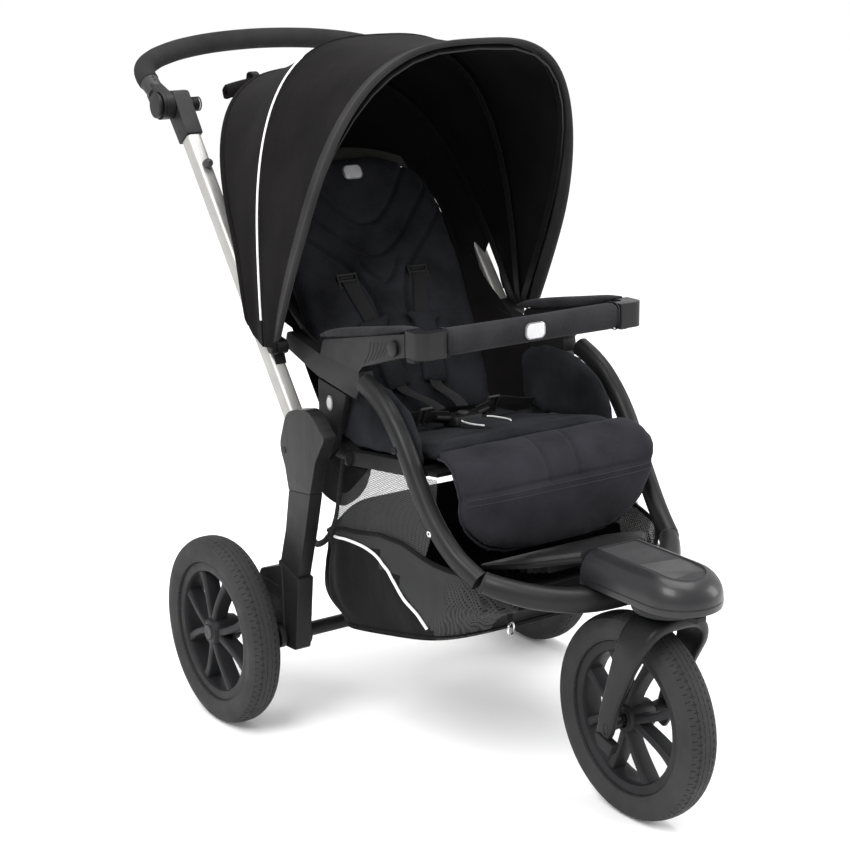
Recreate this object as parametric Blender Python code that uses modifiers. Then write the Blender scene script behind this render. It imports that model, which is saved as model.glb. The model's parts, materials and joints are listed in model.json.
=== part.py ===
"""Three-wheeled jogging stroller with a folding frame, swivelling front wheel and canopy.

Lengths are metres. +Z is up, the child faces -Y and the child's right side is -X. Parts are laid
out from the rear axle's middle on the ground, and the "layout" empty moves that layout so that
the model's own origin lies midway along its length.
"""

from math import atan2, cos, degrees, hypot, pi, radians, sin

import bmesh
import bpy
from mathutils import Matrix, Vector

# ---- driving dimensions ----
GAP = 0.0004                      # clearance between pieces that touch
AXLE_Y = 0.2003                   # rear axle, measured from the model's origin

WHEEL_R = 0.147
WHEEL_SEGMENTS = 40
TYRE_HALF = 0.0245
AXLE_Z = WHEEL_R * cos(pi / WHEEL_SEGMENTS)
TRACK_HALF = 0.300
WHEELBASE = 0.629
HUB_HALF = 0.024
BORE_R = 0.0065
SPOKE_PAIRS = 4

STEER_Y = -0.688                  # swivel axis of the front fork
FOLD = Vector((0, -0.129, 0.455))             # folding axis, along X
HANDLE = Vector((0, 0.230, 0.930))            # tilting axis of the handle, along X
HANDLE_TILT = radians(56)                     # handle loop, from vertical towards the rear
CANOPY = Vector((0, -0.060, 0.593))           # swinging axis of the canopy, along X
SWING = Vector((0, -0.118, 0.163))            # rear suspension axis, along X
LEG_REST = Vector((0, -0.400, 0.455))         # leg rest axis, along X
RECLINE = radians(29)                         # backrest, from vertical
TUBE_LEAN = atan2(0.601, 0.799)               # push tubes, from vertical

ARM_X = (0.184, 0.196)            # armrests and side plates, inner and outer face
TUBE_X = (0.206, 0.230)           # push tubes
LEG_X = (0.2325, 0.2545)          # rear legs
FRONT_TUBE_X = 0.195
SIDES = {"right": -1, "left": 1}

# front rim, middle hoop and rear hoop of the canopy: lean from vertical, height and half width
HOOP_POWER = 3                    # exponent of the hoops' rounded-square outline
RIM = (radians(-25), 0.493, 0.2400)
MIDDLE = (radians(6.4), 0.447, 0.2405)
REAR = (radians(33), 0.460, 0.2400)

SATIN_DARK = ("satin dark frame", (0.035, 0.035, 0.037), 0.38, 0.6)
SILVER = ("anodised silver", (0.62, 0.61, 0.59), 0.30, 1.0)
GLOSS = ("gloss black plastic", (0.012, 0.012, 0.013), 0.15, 0.0)
PLASTIC = ("black plastic", (0.022, 0.022, 0.024), 0.45, 0.0)
RUBBER = ("tyre rubber", (0.024, 0.024, 0.024), 0.8, 0.0)
FOAM = ("foam grip", (0.028, 0.027, 0.028), 0.85, 0.0)
STEEL = ("bright steel", (0.70, 0.70, 0.70), 0.22, 1.0)
CANOPY_CLOTH = ("canopy cloth", (0.014, 0.013, 0.014), 0.9, 0.0)
SEAT_CLOTH = ("seat cloth", (0.012, 0.013, 0.018), 0.92, 0.0)
WEBBING = ("webbing", (0.010, 0.010, 0.010), 0.8, 0.0)


# ---- scene and helpers ----
for old in list(bpy.data.objects):
    bpy.data.objects.remove(old)
stroller = bpy.data.collections.new("jogging_stroller")
cutters = bpy.data.collections.new("cutters")
for collection in (stroller, cutters):
    bpy.context.scene.collection.children.link(collection)

materials = {}


def material(look):
    name, colour, roughness, metallic = look
    if name not in materials:
        made = bpy.data.materials.new(name)
        made.use_nodes = True
        shader = made.node_tree.nodes["Principled BSDF"]
        shader.inputs["Base Color"].default_value = (*colour, 1)
        shader.inputs["Roughness"].default_value = roughness
        shader.inputs["Metallic"].default_value = metallic
        materials[name] = made
    return materials[name]


def joint(name, place=(0, 0, 0), parent=None):
    """An empty on a joint's axis; the moving pieces hang from it."""
    empty = bpy.data.objects.new(name, None)
    empty.empty_display_size = 0.03
    stroller.objects.link(empty)
    empty["layout_place"] = tuple(place)
    empty.parent = parent
    before = parent["layout_place"] if parent and "layout_place" in parent else (0, 0, 0)
    empty.location = Vector(place) - Vector(before)
    return empty


layout = joint("layout")
layout.location.y = AXLE_Y


def hang(obj, parent):
    """Parent an object whose coordinates are given in the layout."""
    obj.parent = parent
    obj.matrix_parent_inverse = Matrix.Translation(-Vector(parent["layout_place"]))


def add(name, data, look, parent, collection=stroller):
    obj = bpy.data.objects.new(name, data)
    data.materials.append(material(look))
    collection.objects.link(obj)
    hang(obj, parent)
    return obj


def as_mesh(obj):
    """Replace a curve object by its welded mesh."""
    bpy.context.view_layer.update()
    depsgraph = bpy.context.evaluated_depsgraph_get()
    mesh = bpy.data.meshes.new_from_object(obj.evaluated_get(depsgraph))
    shape = bmesh.new()
    shape.from_mesh(mesh)
    bmesh.ops.remove_doubles(shape, verts=shape.verts, dist=0.00001)
    bmesh.ops.recalc_face_normals(shape, faces=shape.faces)
    shape.to_mesh(mesh)
    shape.free()
    name, parent, basis = obj.name, obj.parent, obj.matrix_basis.copy()
    inverse, collection = obj.matrix_parent_inverse.copy(), obj.users_collection[0]
    bpy.data.objects.remove(obj)
    made = bpy.data.objects.new(name, mesh)
    collection.objects.link(made)
    made.parent = parent
    made.matrix_parent_inverse = inverse
    made.matrix_basis = basis
    return made


def as_cutter(obj):
    stroller.objects.unlink(obj)
    cutters.objects.link(obj)
    obj.hide_render = True
    obj.display_type = "WIRE"
    return obj


def boolean(obj, tool, operation):
    cut = obj.modifiers.new(operation.lower(), "BOOLEAN")
    cut.operation = operation
    cut.solver = "EXACT"
    cut.object = as_cutter(tool)
    return obj


def smooth(obj, angle=35):
    obj.data.shade_smooth()
    obj.data.set_sharp_from_angle(angle=radians(angle))
    return obj


def rod(name, points, radius, look, parent, resolution=2, kind="POLY"):
    """A round tube through the points."""
    curve = bpy.data.curves.new(name, "CURVE")
    curve.dimensions = "3D"
    curve.bevel_depth = radius
    curve.bevel_resolution = resolution
    curve.use_fill_caps = True
    spline = curve.splines.new(kind)
    spline.points.add(len(points) - 1)
    for point, place in zip(spline.points, points):
        point.co = (*place, 1)
    return add(name, curve, look, parent)


def fillet(corners, steps=3):
    """Round each (y, z, radius) corner of an outline with a short arc."""
    outline = []
    for n, (y, z, radius) in enumerate(corners):
        here = Vector((y, z))
        back = Vector(corners[n - 1][:2]) - here
        ahead = Vector(corners[(n + 1) % len(corners)][:2]) - here
        if not radius:
            outline.append(here)
            continue
        half = back.angle(ahead) / 2
        reach = min(radius / abs(sin(half) / cos(half)), back.length * 0.48, ahead.length * 0.48)
        start, end = here + back.normalized() * reach, here + ahead.normalized() * reach
        for step in range(steps + 1):
            t = step / steps
            outline.append(start * (1 - t) ** 2 + here * 2 * t * (1 - t) + end * t**2)
    return outline


def circle(centre, radius, count=16):
    return [Vector((centre[0] + radius * cos(2 * pi * n / count),
                    centre[1] + radius * sin(2 * pi * n / count))) for n in range(count)]


def plate(name, outline, x_range, look, parent, holes=(), plane="YZ"):
    """A flat outline with thickness: in YZ between two X places, or in XY between two Z places."""
    curve = bpy.data.curves.new(name, "CURVE")
    curve.dimensions = "2D"
    curve.fill_mode = "BOTH"
    low, high = sorted(x_range)
    curve.extrude = (high - low) / 2
    for loop in (outline, *holes):
        spline = curve.splines.new("POLY")
        spline.points.add(len(loop) - 1)
        spline.use_cyclic_u = True
        for point, (u, v) in zip(spline.points, loop):
            point.co = (u, v, 0, 1)
    obj = add(name, curve, look, parent)
    if plane == "YZ":
        obj.rotation_euler = (pi / 2, 0, pi / 2)
        obj.location = ((low + high) / 2, 0, 0)
    else:
        obj.location = (0, 0, (low + high) / 2)
    return as_mesh(obj)


def side(span, sign):
    """An X range on the left (+1) or right (-1) side."""
    return sorted((span[0] * sign, span[1] * sign))


def loft(name, rings, look, parent, smoothing=0):
    """Skin equal rings of points in order, and close both ends."""
    shape = bmesh.new()
    rows = [[shape.verts.new(point) for point in ring] for ring in rings]
    for low, high in zip(rows, rows[1:]):
        for n in range(len(low)):
            after = (n + 1) % len(low)
            shape.faces.new((low[n], low[after], high[after], high[n]))
    shape.faces.new(rows[0][::-1])
    shape.faces.new(rows[-1])
    bmesh.ops.recalc_face_normals(shape, faces=shape.faces)
    mesh = bpy.data.meshes.new(name)
    shape.to_mesh(mesh)
    shape.free()
    obj = add(name, mesh, look, parent)
    if smoothing:
        rounding = obj.modifiers.new("rounding", "SUBSURF")
        rounding.levels = rounding.render_levels = smoothing
    return smooth(obj)


def box_ring(centre, half_a, half_b, axis_a, axis_b, chamfer=0.3):
    """A rectangle with cut corners round a centre, in the plane of two axes."""
    a, b = Vector(axis_a) * half_a, Vector(axis_b) * half_b
    cut = min(half_a, half_b) * chamfer
    ca, cb = 1 - cut / half_a, 1 - cut / half_b
    corners = ((1, cb), (ca, 1), (-ca, 1), (-1, cb), (-1, -cb), (-ca, -1), (ca, -1), (1, -cb))
    return [Vector(centre) + a * u + b * v for u, v in corners]


def path_rings(points, half_x, half_across, chamfer=0.3):
    """Cut-corner rectangles square to a path that runs mostly in the YZ plane."""
    rings = []
    for n, point in enumerate(points):
        ahead = Vector(points[min(n + 1, len(points) - 1)])
        behind = Vector(points[max(n - 1, 0)])
        along = (ahead - behind).normalized()
        side_axis = Vector((1, 0, 0))
        side_axis = (side_axis - along * along.dot(side_axis)).normalized()
        across = along.cross(side_axis)
        width = half_x[n] if isinstance(half_x, (list, tuple)) else half_x
        depth = half_across[n] if isinstance(half_across, (list, tuple)) else half_across
        rings.append(box_ring(point, width, depth, side_axis, across, chamfer))
    return rings


def turned(name, profile, centre, look, parent, segments, axis="X"):
    """Turn a closed (along, radius) profile about an axis through the centre."""
    mesh = bpy.data.meshes.new(name)
    edges = [(n, (n + 1) % len(profile)) for n in range(len(profile))]
    mesh.from_pydata([(radius, 0, along) for along, radius in profile], edges, [])
    obj = add(name, mesh, look, parent)
    obj.location = centre
    # half a segment of turn puts a flat facet, not an edge, at the bottom
    obj.rotation_euler = (0, pi / 2, 0) if axis == "X" else (0, 0, 0)
    obj.matrix_basis = obj.matrix_basis @ Matrix.Rotation(pi / segments, 4, "Z")
    screw = obj.modifiers.new("turning", "SCREW")
    screw.steps = screw.render_steps = segments
    screw.use_merge_vertices = True
    screw.merge_threshold = 0.00005
    screw.use_smooth_shade = False
    return obj


def frozen(obj):
    """The object's evaluated mesh in place of its modifiers."""
    bpy.context.view_layer.update()
    depsgraph = bpy.context.evaluated_depsgraph_get()
    mesh = bpy.data.meshes.new_from_object(obj.evaluated_get(depsgraph))
    obj.modifiers.clear()
    obj.data = mesh
    shape = bmesh.new()
    shape.from_mesh(mesh)
    bmesh.ops.remove_doubles(shape, verts=shape.verts, dist=0.00001)
    bmesh.ops.recalc_face_normals(shape, faces=shape.faces)
    shape.to_mesh(mesh)
    shape.free()
    return obj


def cylinder(name, centre, radius, x_range, look, parent, count=16):
    return plate(name, circle((centre[1], centre[2]), radius, count), x_range, look, parent)


# ---- joints ----
push_joint = joint("push_frame_fold", FOLD, layout)
leg_joint = joint("rear_leg_fold", FOLD, layout)
recline_joint = joint("backrest_recline", FOLD, push_joint)
handle_joint = joint("handle_tilt", HANDLE, push_joint)
canopy_middle_joint = joint("canopy_middle_fold", CANOPY, push_joint)
canopy_front_joint = joint("canopy_front_fold", CANOPY, canopy_middle_joint)
leg_rest_joint = joint("leg_rest_tilt", LEG_REST, layout)
bumper_joint = joint("bumper_release", (0, -0.385, 0.648), layout)
fork_joint = joint("fork_swivel", (0, STEER_Y, 0.315), layout)
front_wheel_joint = joint("front_wheel_spin", (0, -WHEELBASE, AXLE_Z), fork_joint)
pedal_joint = joint("brake_pedal_press", SWING, leg_joint)


# ---- wheels ----
def make_tyre(name, centre, parent):
    tread, shoulder, wall, bead = 0.014, 0.0215, TYRE_HALF, 0.0205
    half = [(tread, WHEEL_R), (shoulder, 0.1405), (wall, 0.128), (bead, 0.1092),
            (0.012, 0.1092), (0.012, 0.1045)]
    profile = [(-x, r) for x, r in half] + [(x, r) for x, r in reversed(half)]
    return turned(name, profile, centre, RUBBER, parent, WHEEL_SEGMENTS)


def make_rim(name, centre, parent, outward):
    """A rim with spokes in pairs that spread from the hub, and a recess for its release button."""
    rim_out, rim_in, web_half, hub_r = 0.1042, 0.094, 0.007, 0.021
    recess_r, recess_depth = 0.0125, 0.005
    profile = [(0.0175, 0.1088), (0.0125, 0.1088), (0.0125, rim_out), (-0.0125, rim_out),
               (-0.0125, 0.1088), (-0.0175, 0.1088), (-0.0175, rim_in), (-web_half, rim_in),
               (-web_half, hub_r), (-HUB_HALF, hub_r), (-HUB_HALF, BORE_R),
               (HUB_HALF - recess_depth, BORE_R), (HUB_HALF - recess_depth, recess_r),
               (HUB_HALF, recess_r), (HUB_HALF, hub_r), (web_half, hub_r), (web_half, rim_in),
               (0.0175, rim_in)]
    if outward < 0:
        profile = [(-x, r) for x, r in reversed(profile)]
    rim = frozen(turned(name, profile[::-1], centre, PLASTIC, parent, WHEEL_SEGMENTS))
    step = 2 * pi / SPOKE_PAIRS
    edge, spread, half_spoke = 0.0915, radians(22), radians(4)
    for n in range(SPOKE_PAIRS):
        middle = pi / 2 + n * step
        windows = {
            "inner": (middle, spread - half_spoke, 0.042, 0.0),
            "outer": (middle + step / 2, step / 2 - spread - half_spoke, 0.028, radians(24)),
        }
        for kind, (heading, reach, near, near_reach) in windows.items():
            far = [heading - reach + 2 * reach * k / 3 for k in range(4)]
            outline = [Vector((centre[1] + edge * cos(a), centre[2] + edge * sin(a))) for a in far]
            close = [heading + near_reach, heading - near_reach] if near_reach else [heading]
            outline += [Vector((centre[1] + near * cos(a), centre[2] + near * sin(a))) for a in close]
            reach_x = (centre[0] - 0.04, centre[0] + 0.04)
            window = plate(f"{name}_{kind}_{n}", outline, reach_x, PLASTIC, parent)
            boolean(rim, window, "DIFFERENCE")
    return rim


front_hub = (0, -WHEELBASE, AXLE_Z)
make_tyre("front_tyre", front_hub, front_wheel_joint)
make_rim("front_rim", front_hub, front_wheel_joint, 1)

# ---- front fork ----
fork_path = [(-0.052, -0.634, 0.127), (-0.052, -0.643, 0.155), (-0.053, -0.662, 0.212),
             (-0.052, -0.679, 0.262), (-0.040, -0.687, 0.296), (0, STEER_Y, 0.307)]
fork_wide = [0.0190, 0.0215, 0.0230, 0.0250, 0.0285, 0.0300]
fork_thick = [0.0055, 0.006, 0.006, 0.007, 0.0075, 0.0075]
fork_path += [(-x, y, z) for x, y, z in fork_path[-2::-1]]
fork_rings = []
for n, place in enumerate(fork_path):
    k = min(n, len(fork_path) - 1 - n)
    ahead = Vector(fork_path[min(n + 1, len(fork_path) - 1)])
    along = (ahead - Vector(fork_path[max(n - 1, 0)])).normalized()
    fore = Vector((0, 1, 0))
    fore = (fore - along * along.dot(fore)).normalized()
    fork_rings.append(box_ring(place, fork_wide[k], fork_thick[k], fore, along.cross(fore)))
fork = loft("front_fork", fork_rings, SATIN_DARK, fork_joint)
stem = rod("steering_stem", [(0, STEER_Y, 0.305), (0, STEER_Y, 0.331)], 0.0075, STEEL, fork_joint)
boolean(fork, as_mesh(stem), "UNION")
cylinder("front_axle", front_hub, 0.006, (-0.0460, 0.0460), STEEL, fork_joint)

turned("steering_collar", [(0.0150, 0.0082), (0.0150, 0.048), (0.0040, 0.048), (0.0003, 0.042),
                           (0.0003, 0.0082)],
       (0, STEER_Y, 0.3165), SATIN_DARK, layout, 28, axis="Z")
lock_outline = [(-0.012, -0.741), (0.012, -0.741), (0.009, -0.757), (-0.009, -0.757)]
lock_joint = joint("swivel_lock_press", (0, -0.749, 0.323), layout)
plate("swivel_lock", lock_outline, (0.3195, 0.3270), GLOSS, lock_joint, plane="XY")

# ---- nose, yoke, footrest and front tubes ----
nose_stations = [(-0.5760, 0.058, 0.3355, 0.3750), (-0.6300, 0.057, 0.3355, 0.3815),
                 (-0.6900, 0.056, 0.3330, 0.3815), (-0.7350, 0.050, 0.3330, 0.3765),
                 (-0.7600, 0.036, 0.3335, 0.3680), (-0.7715, 0.018, 0.3370, 0.3600)]
nose_rings = [box_ring((0, y, (low + high) / 2), wide, (high - low) / 2, (1, 0, 0), (0, 0, 1), 0.45)
              for y, wide, low, high in nose_stations]
loft("nose_housing", nose_rings, GLOSS, layout)

yoke_half = [(0.1635, -0.5065, 0.3365), (0.128, -0.546, 0.324), (0.065, -0.590, 0.3165)]
yoke_path = yoke_half + [(0, -0.600, 0.3165)] + [(-x, y, z) for x, y, z in reversed(yoke_half)]
yoke_rings = []
for n, place in enumerate(yoke_path):
    ahead = Vector(yoke_path[min(n + 1, len(yoke_path) - 1)])
    along = (ahead - Vector(yoke_path[max(n - 1, 0)])).normalized()
    level = along.cross(Vector((0, 0, 1))).normalized()
    yoke_rings.append(box_ring(place, 0.0165, 0.0180, level, level.cross(along)))
loft("front_yoke", yoke_rings, SATIN_DARK, layout)

footrest_stations = [(-0.4280, 0.110, 0.3210, 0.3330), (-0.5000, 0.110, 0.3370, 0.3555),
                     (-0.5380, 0.096, 0.3365, 0.3665), (-0.5755, 0.057, 0.3365, 0.3745)]
footrest_rings = [box_ring((0, y, (low + high) / 2), wide, (high - low) / 2, (1, 0, 0), (0, 0, 1))
                  for y, wide, low, high in footrest_stations]
loft("footrest", footrest_rings, PLASTIC, layout)

tube_path = [(0.195, -0.260, 0.5725), (0.195, -0.317, 0.545), (0.195, -0.347, 0.517),
             (0.195, -0.371, 0.486), (0.194, -0.392, 0.452), (0.190, -0.424, 0.405),
             (0.181, -0.462, 0.364), (0.1695, -0.4995, 0.3395)]
for name, sign in SIDES.items():
    path = [(x * sign, y, z) for x, y, z in tube_path]
    loft(f"front_tube_{name}", path_rings(path, 0.013, 0.0145), SATIN_DARK, layout)


# ---- seat frame, side plates and armrests ----
def slope(y):
    """Height of the seat's centre line under the cushion."""
    return 0.4335 + (-0.130 - y) * 0.105


PAN = (-0.135, -0.3935)
pan_outline = [(PAN[0], slope(PAN[0]) + 0.003), (PAN[0], slope(PAN[0]) - 0.003),
               (PAN[1], slope(PAN[1]) - 0.003), (PAN[1], slope(PAN[1]) + 0.003)]
seat_frame = plate("seat_frame", pan_outline, (-0.1700, 0.1700), PLASTIC, layout)
rail_outline = fillet([(-0.108, 0.4420, 0.01), (-0.108, 0.4680, 0.01), (-0.150, 0.4680, 0.01),
                       (-0.200, 0.4560, 0), (-0.362, 0.4760, 0.008), (-0.364, 0.4540, 0.008),
                       (-0.200, 0.4340, 0)], 2)
for name, sign in SIDES.items():
    rail = plate(f"rail_{name}", rail_outline, side((0.1640, 0.1800), sign), SATIN_DARK, layout)
    boolean(seat_frame, rail, "UNION")
for name, place, radius in (("rear", FOLD, 0.010), ("front", (0, -0.350, 0.4566), 0.008)):
    bar = cylinder(f"{name}_bar", place, radius, (-0.1700, 0.1700), SATIN_DARK, layout, 12)
    boolean(seat_frame, bar, "UNION")

arm_outline = fillet([(-0.3660, 0.6290, 0.003), (-0.3660, 0.6610, 0.004), (-0.1500, 0.6170, 0.010),
                      (-0.1420, 0.5935, 0.004), (-0.0480, 0.6130, 0.006), (-0.0400, 0.5880, 0.006),
                      (-0.1300, 0.5600, 0), (-0.2370, 0.5440, 0.006), (-0.2505, 0.5660, 0.006),
                      (-0.2580, 0.5950, 0.006)])
plate_outline = fillet([(-0.1330, 0.5570, 0.004), (-0.2130, 0.5450, 0.004), (-0.1770, 0.4600, 0.010),
                        (-0.1550, 0.4340, 0.012), (-0.1080, 0.4340, 0.012), (-0.1060, 0.4680, 0.012),
                        (-0.1330, 0.4950, 0.006)])
PIN_R = 0.006
for name, sign in SIDES.items():
    plate(f"armrest_{name}", arm_outline, side(ARM_X, sign), SATIN_DARK, layout)
    cheek = plate(f"side_plate_{name}", plate_outline, side(ARM_X, sign), PLASTIC, layout)
    pin = cylinder(f"fold_pin_{name}", FOLD, PIN_R, side((0.1900, 0.2555), sign), STEEL, layout)
    boolean(cheek, pin, "UNION")
    thumb = joint(f"bumper_button_{name}_press", (0.2 * sign, -0.340, 0.637), layout)
    cylinder(f"bumper_button_{name}", (0, -0.340, 0.637), 0.0115, side((0.1985, 0.2020), sign),
             PLASTIC, thumb, 20)

# ---- bumper bar ----
bar_outer = [(0.1960, -0.3665), (0.1960, -0.3850), (0.1880, -0.3990), (0.1740, -0.4040)]
bar_inner = [(0.1740, -0.3780), (0.1825, -0.3740), (0.1840, -0.3665)]
corner = [(0.1530, -0.4040), (0.1530, -0.3945), (-0.1530, -0.3945), (-0.1530, -0.4040)]
inside = [(-0.1530, -0.3780), (-0.1530, -0.3870), (0.1530, -0.3870), (0.1530, -0.3780)]
bumper_outline = bar_outer + corner
bumper_outline += [(-x, y) for x, y in reversed(bar_outer)]
bumper_outline += [(-x, y) for x, y in reversed(bar_inner)]
bumper_outline += inside + bar_inner
plate("bumper_bar", bumper_outline, (0.6325, 0.6635), PLASTIC, bumper_joint, plane="XY")
sleeve_outline = fillet([(-0.4100, 0.6275, 0.010), (-0.3740, 0.6275, 0.010),
                         (-0.3740, 0.6695, 0.010), (-0.4100, 0.6695, 0.010)])
bar_hole = [(-0.3949, 0.6321), (-0.3866, 0.6321), (-0.3866, 0.6639), (-0.3949, 0.6639)]
plate("bumper_sleeve", sleeve_outline, (-0.1525, 0.1525), SEAT_CLOTH, bumper_joint, [bar_hole])


# ---- seat cushion, side wings, leg rest ----
def surface(y):
    """Height of the seat cushion's top at its middle."""
    return 0.456 + max(0.0, -0.200 - y) * 0.21


cushion_rings = []
for y in (-0.142, -0.190, -0.250, -0.310, -0.352, -0.383):
    low, high = slope(y) + (0.0085 if y > -0.36 else 0.0205), surface(y) + 0.010
    cushion_rings.append(box_ring((0, y, (low + high) / 2), 0.1600, (high - low) / 2,
                                  (1, 0, 0), (0, 0, 1), 0.5))
loft("seat_cushion", cushion_rings, SEAT_CLOTH, layout)
wing_outline = fillet([(-0.140, 0.4720, 0.008), (-0.140, 0.5600, 0.02), (-0.240, 0.5740, 0.04),
                       (-0.325, 0.5680, 0.04), (-0.366, 0.5150, 0.02), (-0.366, 0.4830, 0.006),
                       (-0.200, 0.4640, 0)])
for name, sign in SIDES.items():
    plate(f"side_wing_{name}", wing_outline, side((0.1640, 0.1765), sign), SEAT_CLOTH, layout)

flap_path = [(0, -0.392, 0.4850), (0, -0.428, 0.4860), (0, -0.452, 0.4680), (0, -0.459, 0.4250),
             (0, -0.459, 0.3800), (0, -0.456, 0.3550)]
flap_half = [0.1600, 0.1680, 0.1720, 0.1680, 0.1420, 0.0900]
loft("leg_flap", path_rings(flap_path, flap_half, [0.013, 0.013, 0.012, 0.011, 0.010, 0.008], 0.5),
     SEAT_CLOTH, leg_rest_joint)
board_outline = [(-0.396, 0.4600), (-0.410, 0.4640), (-0.4400, 0.4480), (-0.4460, 0.4300),
                 (-0.4460, 0.3700), (-0.4410, 0.3700), (-0.4410, 0.4280), (-0.4350, 0.4430),
                 (-0.409, 0.4570), (-0.396, 0.4530)]
plate("leg_rest_board", board_outline, (-0.1300, 0.1300), PLASTIC, leg_rest_joint)

# ---- harness buckle ----
buckle_joint = joint("buckle_button_press", (0, -0.225, 0.4900), layout)
plate("harness_buckle", fillet([(-0.204, 0.4690, 0.004), (-0.246, 0.4764, 0.004),
                                         (-0.246, 0.4900, 0.004), (-0.204, 0.4840, 0.004)], 2),
               (-0.025, 0.025), PLASTIC, layout)
plate("buckle_button", circle((0, -0.225), 0.009, 16), (0.4908, 0.4940), PLASTIC, buckle_joint,
      plane="XY")

# ---- push frame ----
tube_dir = Vector((0, sin(TUBE_LEAN), cos(TUBE_LEAN)))
tube_across = Vector((0, cos(TUBE_LEAN), -sin(TUBE_LEAN)))


def on_tube(along, across=0.0):
    """(y, z) of a place on the push tube, measured from the folding axis."""
    place = FOLD + tube_dir * along + tube_across * across
    return place.y, place.z


SOCKET_END, TUBE_END, TUBE_HALF = 0.040, 0.532, 0.0140
HANDLE_REACH = hypot(HANDLE.y - FOLD.y, HANDLE.z - FOLD.z)
tube_outline = [on_tube(SOCKET_END + GAP, -TUBE_HALF), on_tube(SOCKET_END + GAP, TUBE_HALF),
                on_tube(TUBE_END, TUBE_HALF), on_tube(TUBE_END, -TUBE_HALF)]
socket_outline = [Vector(on_tube(SOCKET_END, -0.016)), Vector(on_tube(SOCKET_END, 0.016))]
socket_outline += [Vector(on_tube(0.021 * cos(a), 0.021 * sin(a)))
                   for a in (radians(50 + 26 * n) for n in range(11))]
bracket_outline = [Vector(on_tube(TUBE_END + GAP, -0.0165)), Vector(on_tube(TUBE_END + GAP, 0.0165))]
bracket_outline += [Vector(on_tube(HANDLE_REACH + 0.020 * sin(a), 0.020 * cos(a)))
                    for a in (radians(15 * n) for n in range(13))]
for name, sign in SIDES.items():
    tube = plate(f"push_tube_{name}", tube_outline, side(TUBE_X, sign), SILVER, push_joint)
    edges = tube.modifiers.new("rounded edges", "BEVEL")
    edges.width = 0.006
    edges.segments = 1
    edges.limit_method = "ANGLE"
    plate(f"push_socket_{name}", socket_outline, side((0.2000, 0.2310), sign), PLASTIC, push_joint,
          [circle((FOLD.y, FOLD.z), PIN_R + 0.0005)])
    plate(f"handle_bracket_{name}", bracket_outline, side((0.2035, 0.2325), sign), SATIN_DARK,
          push_joint)

# ---- handle ----
loop_dir = Vector((0, sin(HANDLE_TILT), cos(HANDLE_TILT)))


def on_loop(x, reach):
    return Vector((x, 0, 0)) + HANDLE + loop_dir * reach


loop_half = [(0.2430, 0.0640), (0.2400, 0.084), (0.2240, 0.106), (0.1960, 0.122), (0.1500, 0.137),
             (0.0850, 0.149)]
loop = loop_half + [(0, 0.154)] + [(-x, reach) for x, reach in reversed(loop_half)]
rod("handlebar", [on_loop(x, reach) for x, reach in loop], 0.0165, FOAM, handle_joint)
for name, sign in SIDES.items():
    knuckle_outline = [Vector((HANDLE.y + 0.021 * cos(a), HANDLE.z + 0.021 * sin(a)))
                       for a in (radians(35 - 90 + 15 - 24 * n) for n in range(12))]
    arm_end = [on_loop(0, 0.061) + Vector((0, s * 0.013 * cos(HANDLE_TILT), -s * 0.013 * sin(HANDLE_TILT)))
               for s in (-1, 1)]
    knuckle_outline += [(end.y, end.z) for end in arm_end]
    plate(f"handle_knuckle_{name}", knuckle_outline, side((0.2330, 0.2530), sign), PLASTIC,
          handle_joint)
    button = joint(f"handle_button_{name}_press", (0.256 * sign, HANDLE.y, HANDLE.z), handle_joint)
    cylinder(f"handle_button_{name}", HANDLE, 0.015, side((0.2560, 0.2600), sign), PLASTIC,
             button, 20)


# ---- canopy ----
def hoop(spec, inset=0.0, start=0.0, count=20):
    """Points over a hoop from the right pivot to the left one, in the hoop's leaning plane."""
    lean, height, half = spec
    up = Vector((0, sin(lean), cos(lean)))
    points = []
    for n in range(count + 1):
        angle = start + (pi - 2 * start) * n / count
        x = -abs(cos(angle)) ** (2 / HOOP_POWER) * (half - inset) * (1 if cos(angle) >= 0 else -1)
        reach = abs(sin(angle)) ** (2 / HOOP_POWER) * (height - inset)
        points.append(CANOPY + Vector((x, 0, 0)) + up * reach)
    return points


def make_bow(name, spec, inset, parent, hole=True):
    """A flat strip bent over the hoop, with an eye round the pivot at each end."""
    lean, _, half = spec
    normal = Vector((0, cos(lean), -sin(lean)))
    outer, inner = (hoop(spec, inset + d, radians(0.1)) for d in (0.0, BOW_T))
    rings = [[a - normal * 0.006, a + normal * 0.006, b + normal * 0.006, b - normal * 0.006]
             for a, b in zip(outer, inner)]
    bow = loft(name, rings, PLASTIC, parent)
    holes = [circle((CANOPY.y, CANOPY.z), CANOPY_PIN_R + GAP)] if hole else []
    for side_name, sign in SIDES.items():
        eye = plate(f"{name}_eye_{side_name}", circle((CANOPY.y, CANOPY.z), 0.0095),
                    side((half - inset - BOW_T, half - inset), sign), PLASTIC, parent, holes)
        boolean(bow, eye, "UNION")
    return bow


def make_panel(name, rows, parent, thickness=0.002):
    """A sheet through rows of points, with thickness to its inner side."""
    shape = bmesh.new()
    grid = [[shape.verts.new(point) for point in row] for row in rows]
    for a, b in zip(grid, grid[1:]):
        for n in range(len(a) - 1):
            shape.faces.new((a[n], a[n + 1], b[n + 1], b[n]))
    mesh = bpy.data.meshes.new(name)
    shape.to_mesh(mesh)
    shape.free()
    obj = add(name, mesh, CANOPY_CLOTH, parent)
    solid = obj.modifiers.new("cloth", "SOLIDIFY")
    solid.thickness = thickness
    solid.offset = -1
    return smooth(obj)


def between(first, second, count):
    """Rows of points that pass straight from one hoop to the next."""
    return [[a.lerp(b, n / count) for a, b in zip(first, second)] for n in range(count + 1)]


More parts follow.
